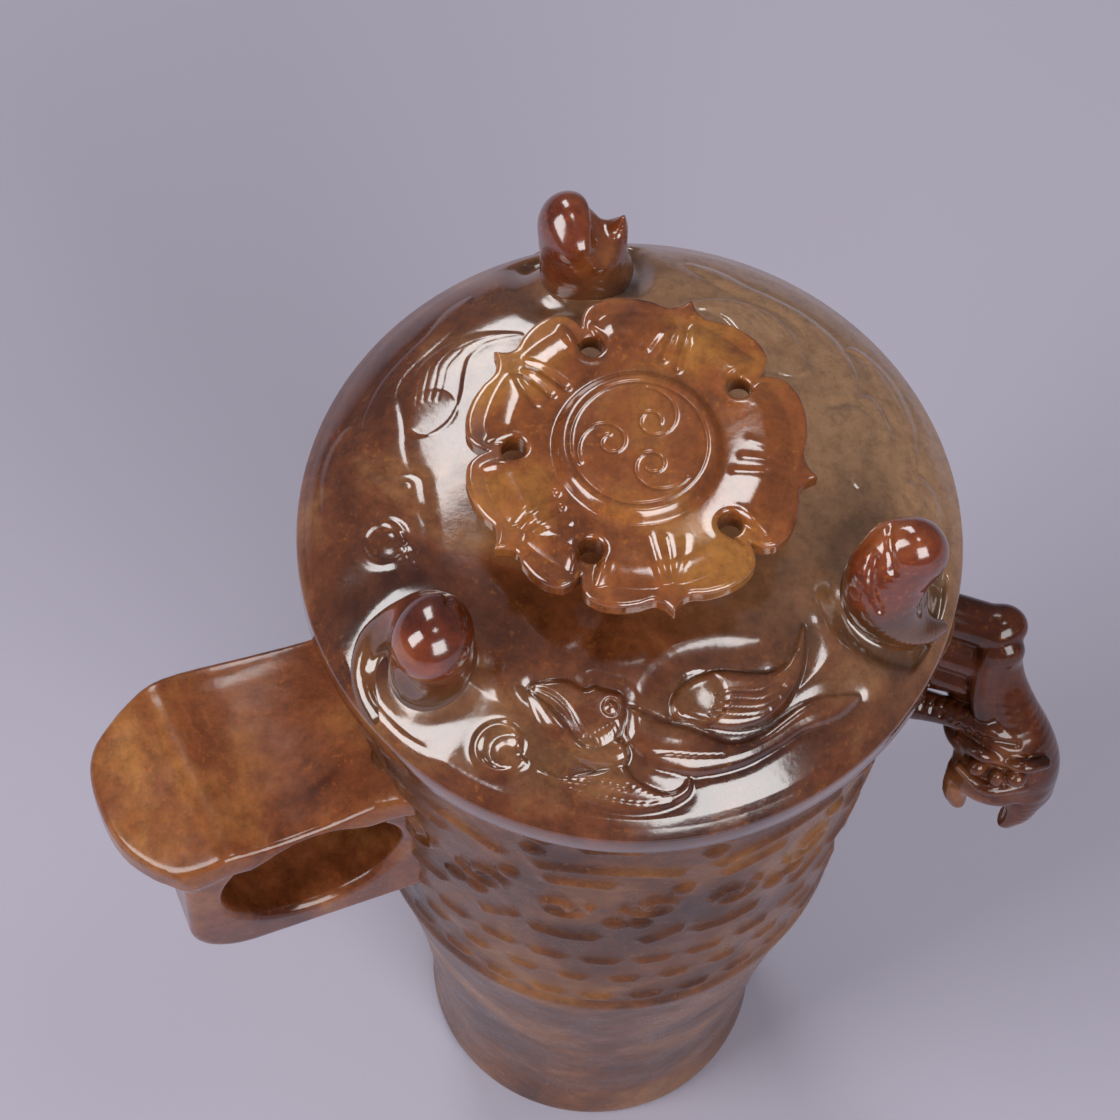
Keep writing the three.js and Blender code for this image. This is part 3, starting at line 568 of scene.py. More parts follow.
class Block:
    """Stone as distances on a grid, in millimetres: negative inside the stone."""

    def __init__(self, low, high, step):
        self.low = np.array(low, float)
        self.step = step
        spans = [np.arange(a, b + step, step, dtype=np.float32) for a, b in zip(low, high)]
        self.x, self.y, self.z = np.ix_(*spans)
        self.field = np.full([len(span) for span in spans], 9, np.float32)

    def ball(self, centre, radii):
        """Distance to an ellipsoid."""
        radii = np.broadcast_to(radii, 3)
        shares = [(axis - c) / r for axis, c, r in zip((self.x, self.y, self.z), centre, radii)]
        size = np.sqrt(sum(share**2 for share in shares) + 1e-6)
        slope = np.sqrt(sum((share / r) ** 2 for share, r in zip(shares, radii)) + 1e-6 / min(radii) ** 2)
        return size * (size - 1) / slope

    def limb(self, places, radii=None):
        """Distance to a smooth limb through places, with radii beside them or as their fourth values."""
        if radii is not None:
            places = np.c_[places, np.broadcast_to(radii, len(places))]
        line = smooth_line(places, 4)
        best = np.full(self.field.shape, 9, np.float32)
        for a, b in zip(line, line[1:]):
            reach = max(a[3], b[3]) + 3
            corner = (np.minimum(a, b)[:3] - reach - self.low) / self.step
            far = (np.maximum(a, b)[:3] + reach - self.low) / self.step
            near = tuple(slice(max(0, int(i)), max(0, int(j) + 2)) for i, j in zip(corner, far))
            x, y, z = self.x[near[0]], self.y[:, near[1]], self.z[:, :, near[2]]
            along = b[:3] - a[:3]
            from_a = (x - a[0], y - a[1], z - a[2])
            share = sum(offset * side for offset, side in zip(from_a, along)) / max(along @ along, 1e-6)
            share = np.clip(share, 0, 1)
            gap = sum((offset - share * side) ** 2 for offset, side in zip(from_a, along))
            best[near] = np.minimum(best[near], np.sqrt(gap) - a[3] - share * (b[3] - a[3]))
        return best

    def plan(self):
        """The grid's plan points, as an array of pairs."""
        x, y = np.broadcast_arrays(self.x[:, :, 0], self.y[:, :, 0])
        return np.c_[x.ravel(), y.ravel()].astype(float)

    def over_plan(self, values):
        """One value for each plan point, shaped to go with the grid."""
        return np.asarray(values, np.float32).reshape(self.field.shape[:2])[:, :, None]

    def add(self, distance, soft=0.01):
        self.field = merged(self.field, distance, soft)

    def cut(self, distance, soft=0.01):
        self.field = -merged(-self.field, distance, soft)

    def on_surface(self, points, heart):
        """A smooth line through the points, each moved to or from the heart until it lies on the surface."""
        line = smooth_line(points, 3) - heart
        places = heart + np.linspace(0.1, 2.5, 240)[:, None, None] * line
        cells = np.round((places - self.low) / self.step).astype(int)
        cells = np.clip(cells, 0, np.array(self.field.shape) - 1)
        outside = self.field[tuple(np.moveaxis(cells, -1, 0))] > 0
        first = np.argmax(outside, axis=0)
        return places[first, np.arange(len(line))]

    def skin(self):
        """Points and quads of the surface, with one point in each grid cell that the surface crosses."""
        field = np.pad(self.field, 1, constant_values=self.step)
        strides = np.array([field.shape[1] * field.shape[2], field.shape[2], 1])
        corners, places = [], []
        for axis in range(3):
            ahead = np.moveaxis(field, axis, 0)
            crossed = np.moveaxis((ahead[:-1] < 0) != (ahead[1:] < 0), 0, axis)
            at = np.argwhere(crossed)
            cell = at @ strides
            here, there = field.ravel()[cell], field.ravel()[cell + strides[axis]]
            place = at.astype(float)
            place[:, axis] += here / (here - there)
            second, third = strides[(axis + 1) % 3], strides[(axis + 2) % 3]
            around = np.stack([cell, cell - second, cell - second - third, cell - third], 1)
            around[here >= 0] = around[here >= 0, ::-1]
            corners.append(around)
            places.append(np.repeat(place, 4, axis=0))
        corners, places = np.vstack(corners), np.vstack(places)
        cells, index = np.unique(corners.ravel(), return_inverse=True)
        count = np.bincount(index.ravel())
        mean = np.stack([np.bincount(index.ravel(), places[:, k]) / count for k in range(3)], 1)
        return self.low + self.step * (mean - 1), index.reshape(-1, 4)


def merged(first, second, soft):
    """Smooth union of two fields of distances."""
    share = np.clip(soft - np.abs(first - second), 0, None)
    return np.minimum(first, second) - share * share / (4 * soft)


def rounded(first, second, radius):
    """Overlap of two fields of distances, with the edge between them rounded."""
    a, b = first + radius, second + radius
    return np.minimum(np.maximum(a, b), 0) + np.hypot(np.maximum(a, 0), np.maximum(b, 0)) - radius


def placed(points, bearing):
    """Points from a handle's or hook's own axes, turned to its bearing."""
    turn = math.radians(bearing)
    x, y, z = np.asarray(points, float).T
    return np.c_[x * math.cos(turn) - y * math.sin(turn), x * math.sin(turn) + y * math.cos(turn), z]


def engraved(points, faces, cuts):
    """Points sunk along their normals by cuts of line, depth and width, and how deep each is cut."""
    sunk = np.zeros(len(points))
    for line, depth, width in cuts:
        sunk += depth * bell(distance_to(points, smooth_line(line, 4), 4 * width), width)
    return points - point_normals(points, faces) * sunk[:, None], sunk


def point_normals(points, quads):
    one, two, three, four = (points[quads[:, k]] for k in range(4))
    facing = np.cross(three - one, four - two)
    normals = np.zeros((len(points), 3))
    for axis in range(3):
        for corner in range(4):
            normals[:, axis] += np.bincount(quads[:, corner], facing[:, axis], len(points))
    return normals / np.maximum(np.linalg.norm(normals, axis=1), 1e-9)[:, None]


# The turned forms


def wall_radius(height):
    slope = (RIM_RADIUS - GIRDLE_RADIUS) / (RIM_HEIGHT - GIRDLE_HEIGHT)
    return RIM_RADIUS - (RIM_HEIGHT - height) * slope


def dome_height(radius):
    return LID_CROWN - LID_DOME_RISE * (np.asarray(radius, float) / LID_RADIUS) ** LID_SHOULDER_POWER


# Materials


def set_inputs(node, values):
    for socket, value in values.items():
        node.inputs[socket].default_value = value


def linear(red, green, blue):
    """A colour as seen on a screen, 0 to 255, as the linear values that a shader takes."""
    values = []
    for value in (red, green, blue):
        share = value / 255
        values.append(share / 12.92 if share <= 0.04045 else ((share + 0.055) / 1.055) ** 2.4)
    return tuple(values)


# Polish: lowest and highest roughness, refractive index and weight of the clear coat
BRIGHT = (0.11, 0.19, 1.74, 0.6)
SATIN = (0.13, 0.22, 1.54, 0.1)
PLAIN = (0.24, 0.36, 1.42, 0.0)
# Depth of the stone, the same for all
DEPTH = {
    "Coat Roughness": 0.06,
    "Subsurface Weight": 0.1,
    "Subsurface Radius": (1.0, 0.45, 0.2),
    "Subsurface Scale": 0.002,
}
# Patterns in the stone: scale in cells to a metre, detail, roughness and distortion
CLOUDS = (60, 5, 0.6, 0.5)
PATCHES = (110, 3, 0.5, 0.0)
WEAR = (170, 4, 0.6, 0.0)
DIMPLES = (520, 4, 0.6, 0.0)
GRAIN = (520, 5, 0.8, 0.0)
FLECKS = (1500, 2, 0.5, 0.0)
DIMPLE_RELIEF = {"Strength": 0.25, "Distance": 0.00012}
# The hooks' feet, and a painted sheen at the back of the lid, a paler tan patch that stands in for the
# reflection of a broad light: centre, reach, colour, strength
FOOT_COLOUR = (80, 60, 32)
PAINTED_SHEEN_ZONE = ((26, 22, 137), 50, (176, 136, 100), 0.85)
# Painted shade in the cuts: what a cut at full painted shade leaves of the stone's colour
PAINTED_CUT_SHADE = 0.5


# Stones: dark, middle and pale clouds, flecks, shift of the patterns, polish and painted sheen
STONES = {
    "lid_stone": ((64, 28, 12), (104, 56, 30), (140, 96, 58), (196, 118, 40), 0.3, BRIGHT, PAINTED_SHEEN_ZONE),
    "hook_stone": ((62, 20, 8), (116, 50, 22), (150, 88, 46), (206, 104, 34), 0.8, BRIGHT),
    "flower_stone": ((88, 42, 18), (134, 74, 34), (160, 106, 46), (224, 144, 40), 1.7, BRIGHT),
    "cup_stone": ((66, 32, 12), (102, 58, 26), (138, 90, 44), (184, 112, 40), 2.9, PLAIN),
    "handle_stone": ((74, 32, 14), (118, 64, 34), (152, 98, 52), (200, 104, 36), 4.1, SATIN),
    "dragon_stone": ((44, 16, 6), (84, 39, 18), (130, 80, 44), (176, 110, 52), 5.6, SATIN),
}


def jade(name, dark, middle, pale, fleck, seed, polish, painted_sheen=None):
    """Polished mottled jade: dark, middle and pale clouds with grain and flecks, and a painted sheen, a paler
    tan patch that stands in for a reflection.

    The attribute carved says how far a point is darkened as painted shade in a cut, which grows with the
    cut's depth, and tint how far it belongs to a hook's foot.
    """
    dark, middle, pale, fleck = (linear(*colour) for colour in (dark, middle, pale, fleck))
    low_rough, high_rough, refraction, coat = polish
    material = bpy.data.materials.new(name)
    material.use_nodes = True
    nodes, links = material.node_tree.nodes, material.node_tree.links
    shader = nodes["Principled BSDF"]
    place = nodes.new("ShaderNodeTexCoord")
    shift = nodes.new("ShaderNodeMapping")
    set_inputs(shift, {"Location": (seed, 0.37 * seed, -0.61 * seed)})
    links.new(place.outputs["Object"], shift.inputs["Vector"])

    def noise(pattern):
        node = nodes.new("ShaderNodeTexNoise")
        set_inputs(node, dict(zip(("Scale", "Detail", "Roughness", "Distortion"), pattern)))
        links.new(shift.outputs["Vector"], node.inputs["Vector"])
        return node.outputs["Fac"]

    def ramp(pattern, *stops):
        """Colours by the value of a pattern; a stop with a number is grey."""
        node = nodes.new("ShaderNodeValToRGB")
        while len(node.color_ramp.elements) < len(stops):
            node.color_ramp.elements.new(0.5)
        for element, (position, colour) in zip(node.color_ramp.elements, stops):
            element.position = position
            element.color = (*colour, 1) if isinstance(colour, tuple) else (colour, colour, colour, 1)
        links.new(noise(pattern), node.inputs["Fac"])
        return node.outputs["Color"]

    def mix(factor, first, second, how="MIX"):
        node = nodes.new("ShaderNodeMix")
        node.data_type = "RGBA"
        node.blend_type = how
        for socket, value in (("Factor", factor), ("A", first), ("B", second)):
            target = next(s for s in node.inputs if s.name == socket and s.enabled)
            if isinstance(value, (tuple, float)):
                target.default_value = (*value, 1) if isinstance(value, tuple) else value
            else:
                links.new(value, target)
        return next(s for s in node.outputs if s.enabled)

    def attribute(name):
        node = nodes.new("ShaderNodeAttribute")
        node.attribute_name = name
        return node.outputs["Fac"]

    clouds = ramp(CLOUDS, (0.34, dark), (0.5, middle), (0.68, pale))
    # Painted sheen: the colour turns paler tan near a point at the back of the lid, standing in for a broad
    # light's reflection
    if painted_sheen:
        centre, reach, colour, strength = painted_sheen
        offset = nodes.new("ShaderNodeVectorMath")
        offset.operation = "DISTANCE"
        links.new(place.outputs["Object"], offset.inputs[0])
        offset.inputs[1].default_value = [value * MM for value in centre]
        near = nodes.new("ShaderNodeMapRange")
        near.interpolation_type = "SMOOTHSTEP"
        spans = {"From Min": 0.25 * reach * MM, "From Max": reach * MM, "To Min": strength, "To Max": 0}
        set_inputs(near, spans)
        links.new(offset.outputs["Value"], near.inputs["Value"])
        clouds = mix(near.outputs["Result"], clouds, linear(*colour))
    grain = ramp(GRAIN, (0.36, 0.5), (0.5, 0.95), (0.64, 1.3))
    stone = mix(0.55, clouds, grain, "MULTIPLY")
    flecks = ramp(FLECKS, (0.58, 0), (0.72, 0.42))
    patches = ramp(PATCHES, (0.42, 0), (0.62, 0.55))
    speckled = mix(mix(1.0, flecks, patches, "MULTIPLY"), stone, fleck)
    # Painted shade in the cuts: the stone's colour darkened where the attribute carved is set
    shade = mix(1.0, speckled, (PAINTED_CUT_SHADE, PAINTED_CUT_SHADE, PAINTED_CUT_SHADE), "MULTIPLY")
    tinted = mix(attribute("tint"), speckled, mix(0.6, speckled, linear(*FOOT_COLOUR)))
    links.new(mix(attribute("carved"), tinted, shade), shader.inputs["Base Color"])

    links.new(ramp(WEAR, (0.35, low_rough), (0.7, high_rough)), shader.inputs["Roughness"])
    bump = nodes.new("ShaderNodeBump")
    set_inputs(bump, DIMPLE_RELIEF)
    links.new(noise(DIMPLES), bump.inputs["Height"])
    links.new(bump.outputs["Normal"], shader.inputs["Normal"])
    set_inputs(shader, {"IOR": refraction, "Coat Weight": coat, **DEPTH})
    return material


stones = {name: jade(name, *look) for name, look in STONES.items()}


def finish_piece(piece, stone, body, slot, *nodes):
    """Gives a piece its stone and its body, and hides the nodes of the frame that it stands for."""
    piece.data.materials.clear()
    piece.data.materials.append(stones[stone])
    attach(piece, body)
    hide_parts(*nodes)


# The lid


def front_plan(points):
    """Points of the lid, turned from the right or mirrored from the left to the front, and which are left."""
    radius, bearing = polar(points)
    right = (bearing >= HOOK_BEARINGS[2]) | (bearing < HOOK_BEARINGS[0])
    left = (bearing >= HOOK_BEARINGS[0]) & (bearing < HOOK_BEARINGS[1])
    turned = np.where(right, bearing - THIRD, np.where(left, 2 * HOOK_BEARINGS[1] - bearing, bearing))
    return ring_point(radius, turned), left


def bird_relief(points, ground):
    """The bird at plan points of its drawing, over a ground that is given at the same points."""
    relief = Relief(points)
    relief.height += ground
    for outline, depth, scoop, round_edge, crown in BIRD_FIGURES:
        relief.raise_figure(smooth_line(outline, 4, True), depth, scoop, round_edge, crown)
    relief.boss(*WING_HOLLOW)
    for lines, depth, width in BIRD_CUTS:
        for line in lines:
            relief.engrave(smooth_line(line, 4), depth, width)
    for k in range(TAIL_BARB_COUNT):
        share = (k + 0.5) / TAIL_BARB_COUNT
        root = np.array(TAIL_BARB_FIRST) + np.array(TAIL_BARB_SPAN) * share
        barb = [root, root + (-0.9, -0.7), root + (-2.2, -1.2 - 0.4 * share)]
        relief.engrave(smooth_line(barb, 3), *TAIL_BARB_LINE)
    relief.engrave(spiral(EYE_CENTRE, EYE_RADIUS, EYE_RADIUS, 0, 360, 20), *EYE_LINE)
    relief.boss(EYE_CENTRE, *EYE_BOSS)
    for k in range(FRILL_COUNT):
        share = k / (FRILL_COUNT - 1)
        start = np.array(FRILL_START) * (1 - share) + np.array(FRILL_END) * share
        relief.engrave(np.array([start, start + FRILL_BARB]), *FRILL_LINE)
    return relief.height


def scroll_relief(points, centre):
    """A cloud scroll: a raised ring that opens on one side, round a small ball."""
    relief = Relief(points)
    depth, width = SCROLL_HOLLOW
    relief.height -= depth * bell(np.hypot(*(points - centre).T) - SCROLL_RADIUS, width)
    relief.ridge(spiral(centre, SCROLL_RADIUS, SCROLL_RADIUS - 0.9, 330, -330, 40), *SCROLL_RIDGE)
    relief.boss(np.array(centre) + SCROLL_BOSS_SHIFT, *SCROLL_BOSS)
    return relief.height


def hook_scoop(points, bearing, reach):
    """The hollow that runs round the outer side of a hook's foot."""
    offset = points - ring_point(reach, bearing)
    outward, along = offset @ ring_point(1, bearing), offset @ ring_point(1, bearing + 90)
    ring = bell(np.hypot(outward, along) - SCOOP_RADIUS, SCOOP_WIDTH)
    facing = 0.3 + 0.7 * smoothstep(0.5 + 0.8 * np.cos(np.arctan2(along, outward) + 0.5))
    return -SCOOP_DEPTH * ring * facing


def drawn(points):
    """Where points of the lid lie in the drawing of its relief, which was made for a lower dome."""
    radius = np.hypot(*points.T)
    lift = dome_height(radius) - LID_ARRIS - DRAWING_RISE * (1 - (radius / LID_RADIUS) ** 2)
    return points + lift[:, None] * DRAWING_SLANT


def facet_relief(plan, span):
    """The shoulder ground straight instead of round, between two bearings."""
    radius, bearing = polar(plan)
    share = np.clip((radius - FACET_START) / (FACET_END - FACET_START), 0, 1)
    first, last = dome_height(FACET_START), dome_height(FACET_END)
    cut = np.where((share > 0) & (share < 1), first + (last - first) * share - dome_height(radius), 0)
    beyond_span = np.abs((bearing - sum(span) / 2 + 180) % 360 - 180) - (span[1] - span[0]) / 2
    return cut * (1 - smoothstep(beyond_span / FACET_FADE))


def lid_relief(plan):
    """Height of the carving at plan points of the lid, measured from its dome."""
    front, left = front_plan(plan)
    turned = np.any(np.abs(front - plan) > 0.01, axis=1)
    strength = np.where(turned, np.where(left, LEFT_STRENGTH, BACK_STRENGTH), 1)
    height = bird_relief(drawn(front), facet_relief(front, BIRD_FACET))
    height = (height + np.where(left, 0, scroll_relief(drawn(front), SCROLL_CENTRE))) * strength
    height += facet_relief(plan, HOOK_FACET)
    height += LEFT_SCROLL_STRENGTH * scroll_relief(drawn(plan), LEFT_SCROLL_CENTRE)
    for bearing, reach, share in zip(HOOK_BEARINGS, HOOK_REACHES, SCOOP_SHARES):
        height += share * hook_scoop(plan, bearing, reach)
    return height * smoothstep((LID_RADIUS - CARVING_MARGIN - np.hypot(*plan.T)) / CARVING_FADE)


def build_lid():
    """The domed plate with its relief, the spigot and the hollow underside."""
    radii = np.concatenate([[5.5], np.arange(8.0, LID_RADIUS - LID_EDGE_ROUND, LID_ROW)])
    top = [(radius, float(dome_height(radius))) for radius in radii]
    edge = arc((LID_RADIUS - LID_EDGE_ROUND, LID_ARRIS - LID_EDGE_ROUND + 0.8), LID_EDGE_ROUND, 36, 0, 5)
    spigot_foot = LID_UNDERSIDE - SPIGOT_HEIGHT
    bore = SPIGOT_RADIUS - SPIGOT_WALL
    inner_crown = LID_CROWN - LID_CROWN_THICKNESS
    under = [
        *soft_corner(LID_RADIUS, LID_UNDERSIDE, -1),
        (SPIGOT_RADIUS + 0.3, LID_UNDERSIDE), (SPIGOT_RADIUS, LID_UNDERSIDE - 0.3),
        *soft_corner(SPIGOT_RADIUS, spigot_foot, -1),
        *soft_corner(bore, spigot_foot, 1)[::-1],
        (bore, LID_UNDERSIDE - 0.4), (bore - 1.2, LID_UNDERSIDE + 1.0),
        (bore - LID_CROWN_THICKNESS, inner_crown - LID_DOME_RISE / 4),
        (12.0, inner_crown - 0.1), (4.0, inner_crown),
    ]
    rows = turned_points(top + edge + under, LID_COLUMNS)
    carved_rows = len(top)
    plan = rows[:carved_rows, :, :2].reshape(-1, 2)
    height = lid_relief(plan)
    rows[:carved_rows, :, 2] += height.reshape(carved_rows, -1)
    lid = grid_object("lid_carved", rows[::-1], (0, 0, inner_crown), (0, 0, LID_CROWN))
    # Painted shade: the lid's colour is darkened in its cuts and sunk ground, the more the deeper
    depth = np.zeros(rows.shape[:2])
    depth[:carved_rows] = -height.reshape(carved_rows, -1) * LID_PAINTED_SHADE
    mark(lid, "carved", np.r_[depth[::-1].ravel(), 0, 0])
    finish_piece(lid, "lid_stone", "lid", "lid_jade", "lid")


def build_hook(number, bearing, reach):
    """A curl of stone: a leaning head on a stout foot, and a flank that winds down round it."""
    block = Block((-8, -10.5, -7.5), (9, 8, HOOK_TOP + 1), HOOK_STEP)
    limb, ball = block.limb, block.ball
    plan = block.plan()
    on_lid = placed(np.c_[plan + (reach, 0), np.zeros(len(plan))], bearing)[:, :2]
    radius = np.minimum(np.hypot(*on_lid.T), LID_RADIUS)
    ground = block.over_plan(dome_height(radius) + lid_relief(on_lid) - dome_height(reach))
    wide = number == WIDE_HOOK
    block.add(limb(HOOK_CORE))
    block.add(ball(*(HOOK_WIDE_HEAD if wide else HOOK_HEAD)), 1.2)
    block.add(limb(HOOK_WIDE_FLANK if wide else HOOK_FLANK), 1.6)
    if number == TIPPED_HOOK:
        block.add(limb(HOOK_TIP), 1.0)
        block.cut(limb(HOOK_SADDLE, 1.5), 1.2)
    block.cut(ball(*HOOK_HOLLOW), 1.4)
    for crease in HOOK_CREASES.get(number, ()):
        block.cut(limb(block.on_surface(crease, HOOK_HEART), 0.22), 0.7)
    block.add(np.maximum(block.z - ground + 0.3, np.hypot(block.x, block.y) - 8), FOOT_SOFTNESS[number - 1])
    block.field = np.maximum(block.field, ground - 1.4 - block.z)
    points, quads = block.skin()
    low = 1 - smoothstep((points[:, 2] + 2) / 8)
    moved = placed(points + (reach, 0, 0), bearing)
    moved[:, 2] += dome_height(reach)
    hook = make_object(f"hook_{number}_carved", moved, quads)
    mark(hook, "tint", low)
    finish_piece(hook, "hook_stone", "lid", "hook_jade", f"lid_hook_{number}")


def between(value, marks):
    """Piecewise smooth curve through [place, value] marks."""
    places, values = zip(*marks)
    slopes = np.gradient(values, places)
    value = np.clip(value, places[0], places[-1])
    k = np.clip(np.searchsorted(places, value) - 1, 0, len(places) - 2)
    places, values = np.array(places, float), np.array(values, float)
    span = places[k + 1] - places[k]
    t = (value - places[k]) / span
    first = (1 + 2 * t) * (1 - t) ** 2 * values[k] + t * (1 - t) ** 2 * span * slopes[k]
    return first + t * t * (3 - 2 * t) * values[k + 1] + t * t * (t - 1) * span * slopes[k + 1]


def petal_share(bearing):
    """How far each bearing lies from its petal's point, 0, to the notch beside it, 1."""
    share = np.ones_like(bearing)
    for tip in PETAL_TIPS:
        for notch in PETAL_NOTCHES:
            span = (notch - tip + 180) % 360 - 180
            if abs(span) < 60:
                offset = ((bearing - tip + 180) % 360 - 180) / span
                share = np.where((offset >= 0) & (offset <= 1), offset, share)
    return share


def build_flower():
    """Five petals round a raised disc, with a drilled hole at each notch."""
    block = Block((-20.5, -20.5, FLOWER_UNDERSIDE - 0.6), (20.5, 20.5, FLOWER_TOP + 0.6), FLOWER_STEP)
    plan = block.plan()
    radius, bearing = polar(plan)
    share = petal_share(bearing)
    edge = between(share, PETAL_EDGE) - radius
    petal = smoothstep((radius - DISC_RADIUS - 0.3) / (PETAL_CROWN_RADIUS - DISC_RADIUS))
    fall = np.clip((radius - PETAL_CROWN_RADIUS) / 5, 0, None)
    top = FLOWER_TOP - PETAL_VALLEY + PETAL_CROWN * petal - PETAL_FALL * fall**1.6
    top += PETAL_BEAD * bell(edge - 0.5, 0.5) * smoothstep(fall)
    top -= PETAL_NOTCH * smoothstep((share - 0.7) / 0.3) * smoothstep((radius - 11) / 4)
    for notch in PETAL_NOTCHES:
        path = [ring_point(HOLE_CIRCLE, notch), ring_point(16.2, notch + 1.5), ring_point(19.5, notch)]
        gap = distance_to(plan, smooth_line(path, 4), 3.0)
        top -= 1.4 * bell(gap, 0.6) - 0.45 * bell(gap - 1.5, 0.6)
        hole = np.hypot(*(plan - ring_point(HOLE_CIRCLE, notch)).T)
        top -= 0.5 * bell(hole - HOLE_RADIUS, 0.6)
    for tip, strength in zip(PETAL_TIPS, PETAL_FOLDS):
        for turn, start, end, depth in FOLDS:
            bends = ((start, 2.2), (14, 1.4), (end, 0.3))
            fold = [ring_point(reach, tip + share_of_turn * turn) for reach, share_of_turn in bends]
            gap = distance_to(plan, smooth_line(fold), 2.4)
            top -= strength * depth * bell(gap, FOLD_WIDTH)
    disc = FLOWER_TOP - 1.6 * smoothstep((radius - DISC_RADIUS + 0.9) / 1.8)
    top = np.maximum(top, disc)
    top -= DISC_LINE_DEPTH * bell(radius - DISC_RING_RADIUS, 0.16)
    for k in range(COMMA_COUNT):
        turn = FIRST_COMMA_BEARING + 360 * k / COMMA_COUNT
        comma = spiral(ring_point(COMMA_CIRCLE, turn), *COMMA_RADII, turn + 35, COMMA_TURN, 40, COMMA_FLING)
        gap = distance_to(plan, comma, 0.8)
        top -= DISC_LINE_DEPTH * bell(gap, 0.15)
    under = FLOWER_UNDERSIDE + 1.1 * smoothstep((radius - 9) / 8)
    flat = np.maximum(block.z - block.over_plan(top), block.over_plan(under) - block.z)
    block.add(rounded(-block.over_plan(edge) * 0.9, flat, PETAL_ROUND))
    for notch in PETAL_NOTCHES:
        hole = np.hypot(*(plan - ring_point(HOLE_CIRCLE, notch)).T) - HOLE_RADIUS
        block.cut(np.broadcast_to(block.over_plan(hole), block.field.shape), 0.3)
    points, quads = block.skin()
    flower = make_object("flower_carved", points, quads)
    finish_piece(flower, "flower_stone", "lid", "flower_jade", "flower_knob")


def build_stem():
    """The turned stem that carries the flower."""
    low, high = LID_CROWN - 0.4, FLOWER_UNDERSIDE + 0.6
    profile = [
        (3.0, low), (STEM_FOOT, low), (STEM_FOOT, low + 1.0), (STEM_FOOT - 0.6, low + 1.8),
        (STEM_WAIST + 0.3, low + 4.6), (STEM_WAIST, low + 6.8), (STEM_WAIST + 0.5, high - 3.2),
        (STEM_WAIST + 1.6, high - 1.0), (STEM_WAIST + 1.8, high), (3.0, high),
    ]
    rows = turned_points(smooth_line(profile, 4)[2:-2], 96)
    stem = grid_object("stem_carved", rows, (0, 0, low), (0, 0, high))
    finish_piece(stem, "lid_stone", "lid", "lid_jade", "knob_stem")


# The cup


def body_relief(angle, height):
    """Rows of bars, beads and curls round the bowl, over a plan of arc length and height."""
    pitch = 2 * math.pi * (RIM_RADIUS + GIRDLE_RADIUS) / 2 / BODY_UNITS
    across = (np.degrees(angle) / 360 * BODY_UNITS) % 1.0
    relief = Relief(np.c_[(across - 0.5) * pitch, height])
    for row, half, offset in BODY_DASHES:
        for k in range(-2, 3):
            middle = (k + offset) * pitch / DASHES_PER_UNIT
            relief.ridge(np.array([(middle - half, row), (middle + half, row)]), *DASH_RIDGE)
    for bar in BODY_BARS:
        relief.ridge(smooth_line(bar, 4), *BAR_RIDGE)
    for bead in BODY_BEADS:
        relief.boss(np.array(bead), *BEAD_BOSS)
    for centre, start, turn in BODY_CURLS:
        relief.ridge(spiral(centre, *CURL_RADII, start, turn), *CURL_RIDGE)
    return relief.height


def build_cup():
    """The hollow bowl with its relief and the foot below it, turned in one piece."""
    band_low, band_high = GIRDLE_HEIGHT + 0.3, RIM_HEIGHT - 1.2
    girdle = np.array([GIRDLE_RADIUS, GIRDLE_HEIGHT])
    waist = np.array([FOOT_WAIST_RADIUS, FOOT_WAIST_HEIGHT])
    band = np.array([FOOT_RADIUS, FOOT_BAND_HEIGHT])
    share = np.linspace(0, 1, 40)[:, None]
    flare = band * (1 - share) ** 2 + 2 * waist * share * (1 - share) + girdle * share**2
    foot = [(4.0, 0.0), (12.0, 0.0), (18.0, 0.0)]
    foot += arc((FOOT_RADIUS - FOOT_ROUND, FOOT_ROUND), FOOT_ROUND, -90, 0)
    foot += [(FOOT_RADIUS, z) for z in (3, 5, 7, 9)]
    heights = np.arange(band_low, band_high, BOWL_ROW)
    wall = [(float(wall_radius(z)), float(z)) for z in heights]
    bore = RIM_RADIUS - RIM_WALL
    floor_radius = wall_radius(CAVITY_FLOOR + CAVITY_FILLET) - RIM_WALL - 0.6
    rim = arc((RIM_RADIUS - RIM_ROUND, RIM_HEIGHT - RIM_ROUND), RIM_ROUND, 0, 90)
    rim += arc((bore + RIM_ROUND, RIM_HEIGHT - RIM_ROUND), RIM_ROUND, 90, 180)
    fillet = arc((floor_radius - CAVITY_FILLET, CAVITY_FLOOR + CAVITY_FILLET), CAVITY_FILLET, 0, -90, 12)
    lower = foot + [tuple(p) for p in flare]
    profile = lower + wall + rim + fillet + [(6.0, CAVITY_FLOOR)]
    rows = turned_points(profile, BOWL_COLUMNS)
    first = len(lower)
    last = first + len(wall)
    angle = np.linspace(0, 2 * np.pi, BOWL_COLUMNS, endpoint=False)
    angle = np.broadcast_to(angle, (len(wall), BOWL_COLUMNS))
    height = body_relief(angle.ravel(), rows[first:last, :, 2].ravel()).reshape(len(wall), -1)
    fade = smoothstep((heights - band_low) / 2.5) * smoothstep((band_high - heights) / 1.5)
    height = (height - BODY_GROUND) * fade[:, None]
    ring = np.stack([np.cos(angle), np.sin(angle)], -1)
    rows[first:last, :, :2] += ring * height[..., None]
    cup = grid_object("cup_carved", rows, (0, 0, 0), (0, 0, CAVITY_FLOOR))
    # Painted shade: the bowl's colour is darkened where its relief sinks below the wall
    depth = np.zeros(rows.shape[:2])
    depth[first:last] = -height * BOWL_PAINTED_SHADE
    mark(cup, "carved", np.r_[depth.ravel(), 0, 0])
    finish_piece(cup, "cup_stone", "cup", "bowl_jade", "cup_bowl", "cup_foot")


def sink_into_wall(block):
    """Cuts a handle's root off inside the bowl's wall."""
    radius = np.hypot(block.x, block.y)
    block.cut(radius - wall_radius(block.z) + ROOT_SINK)


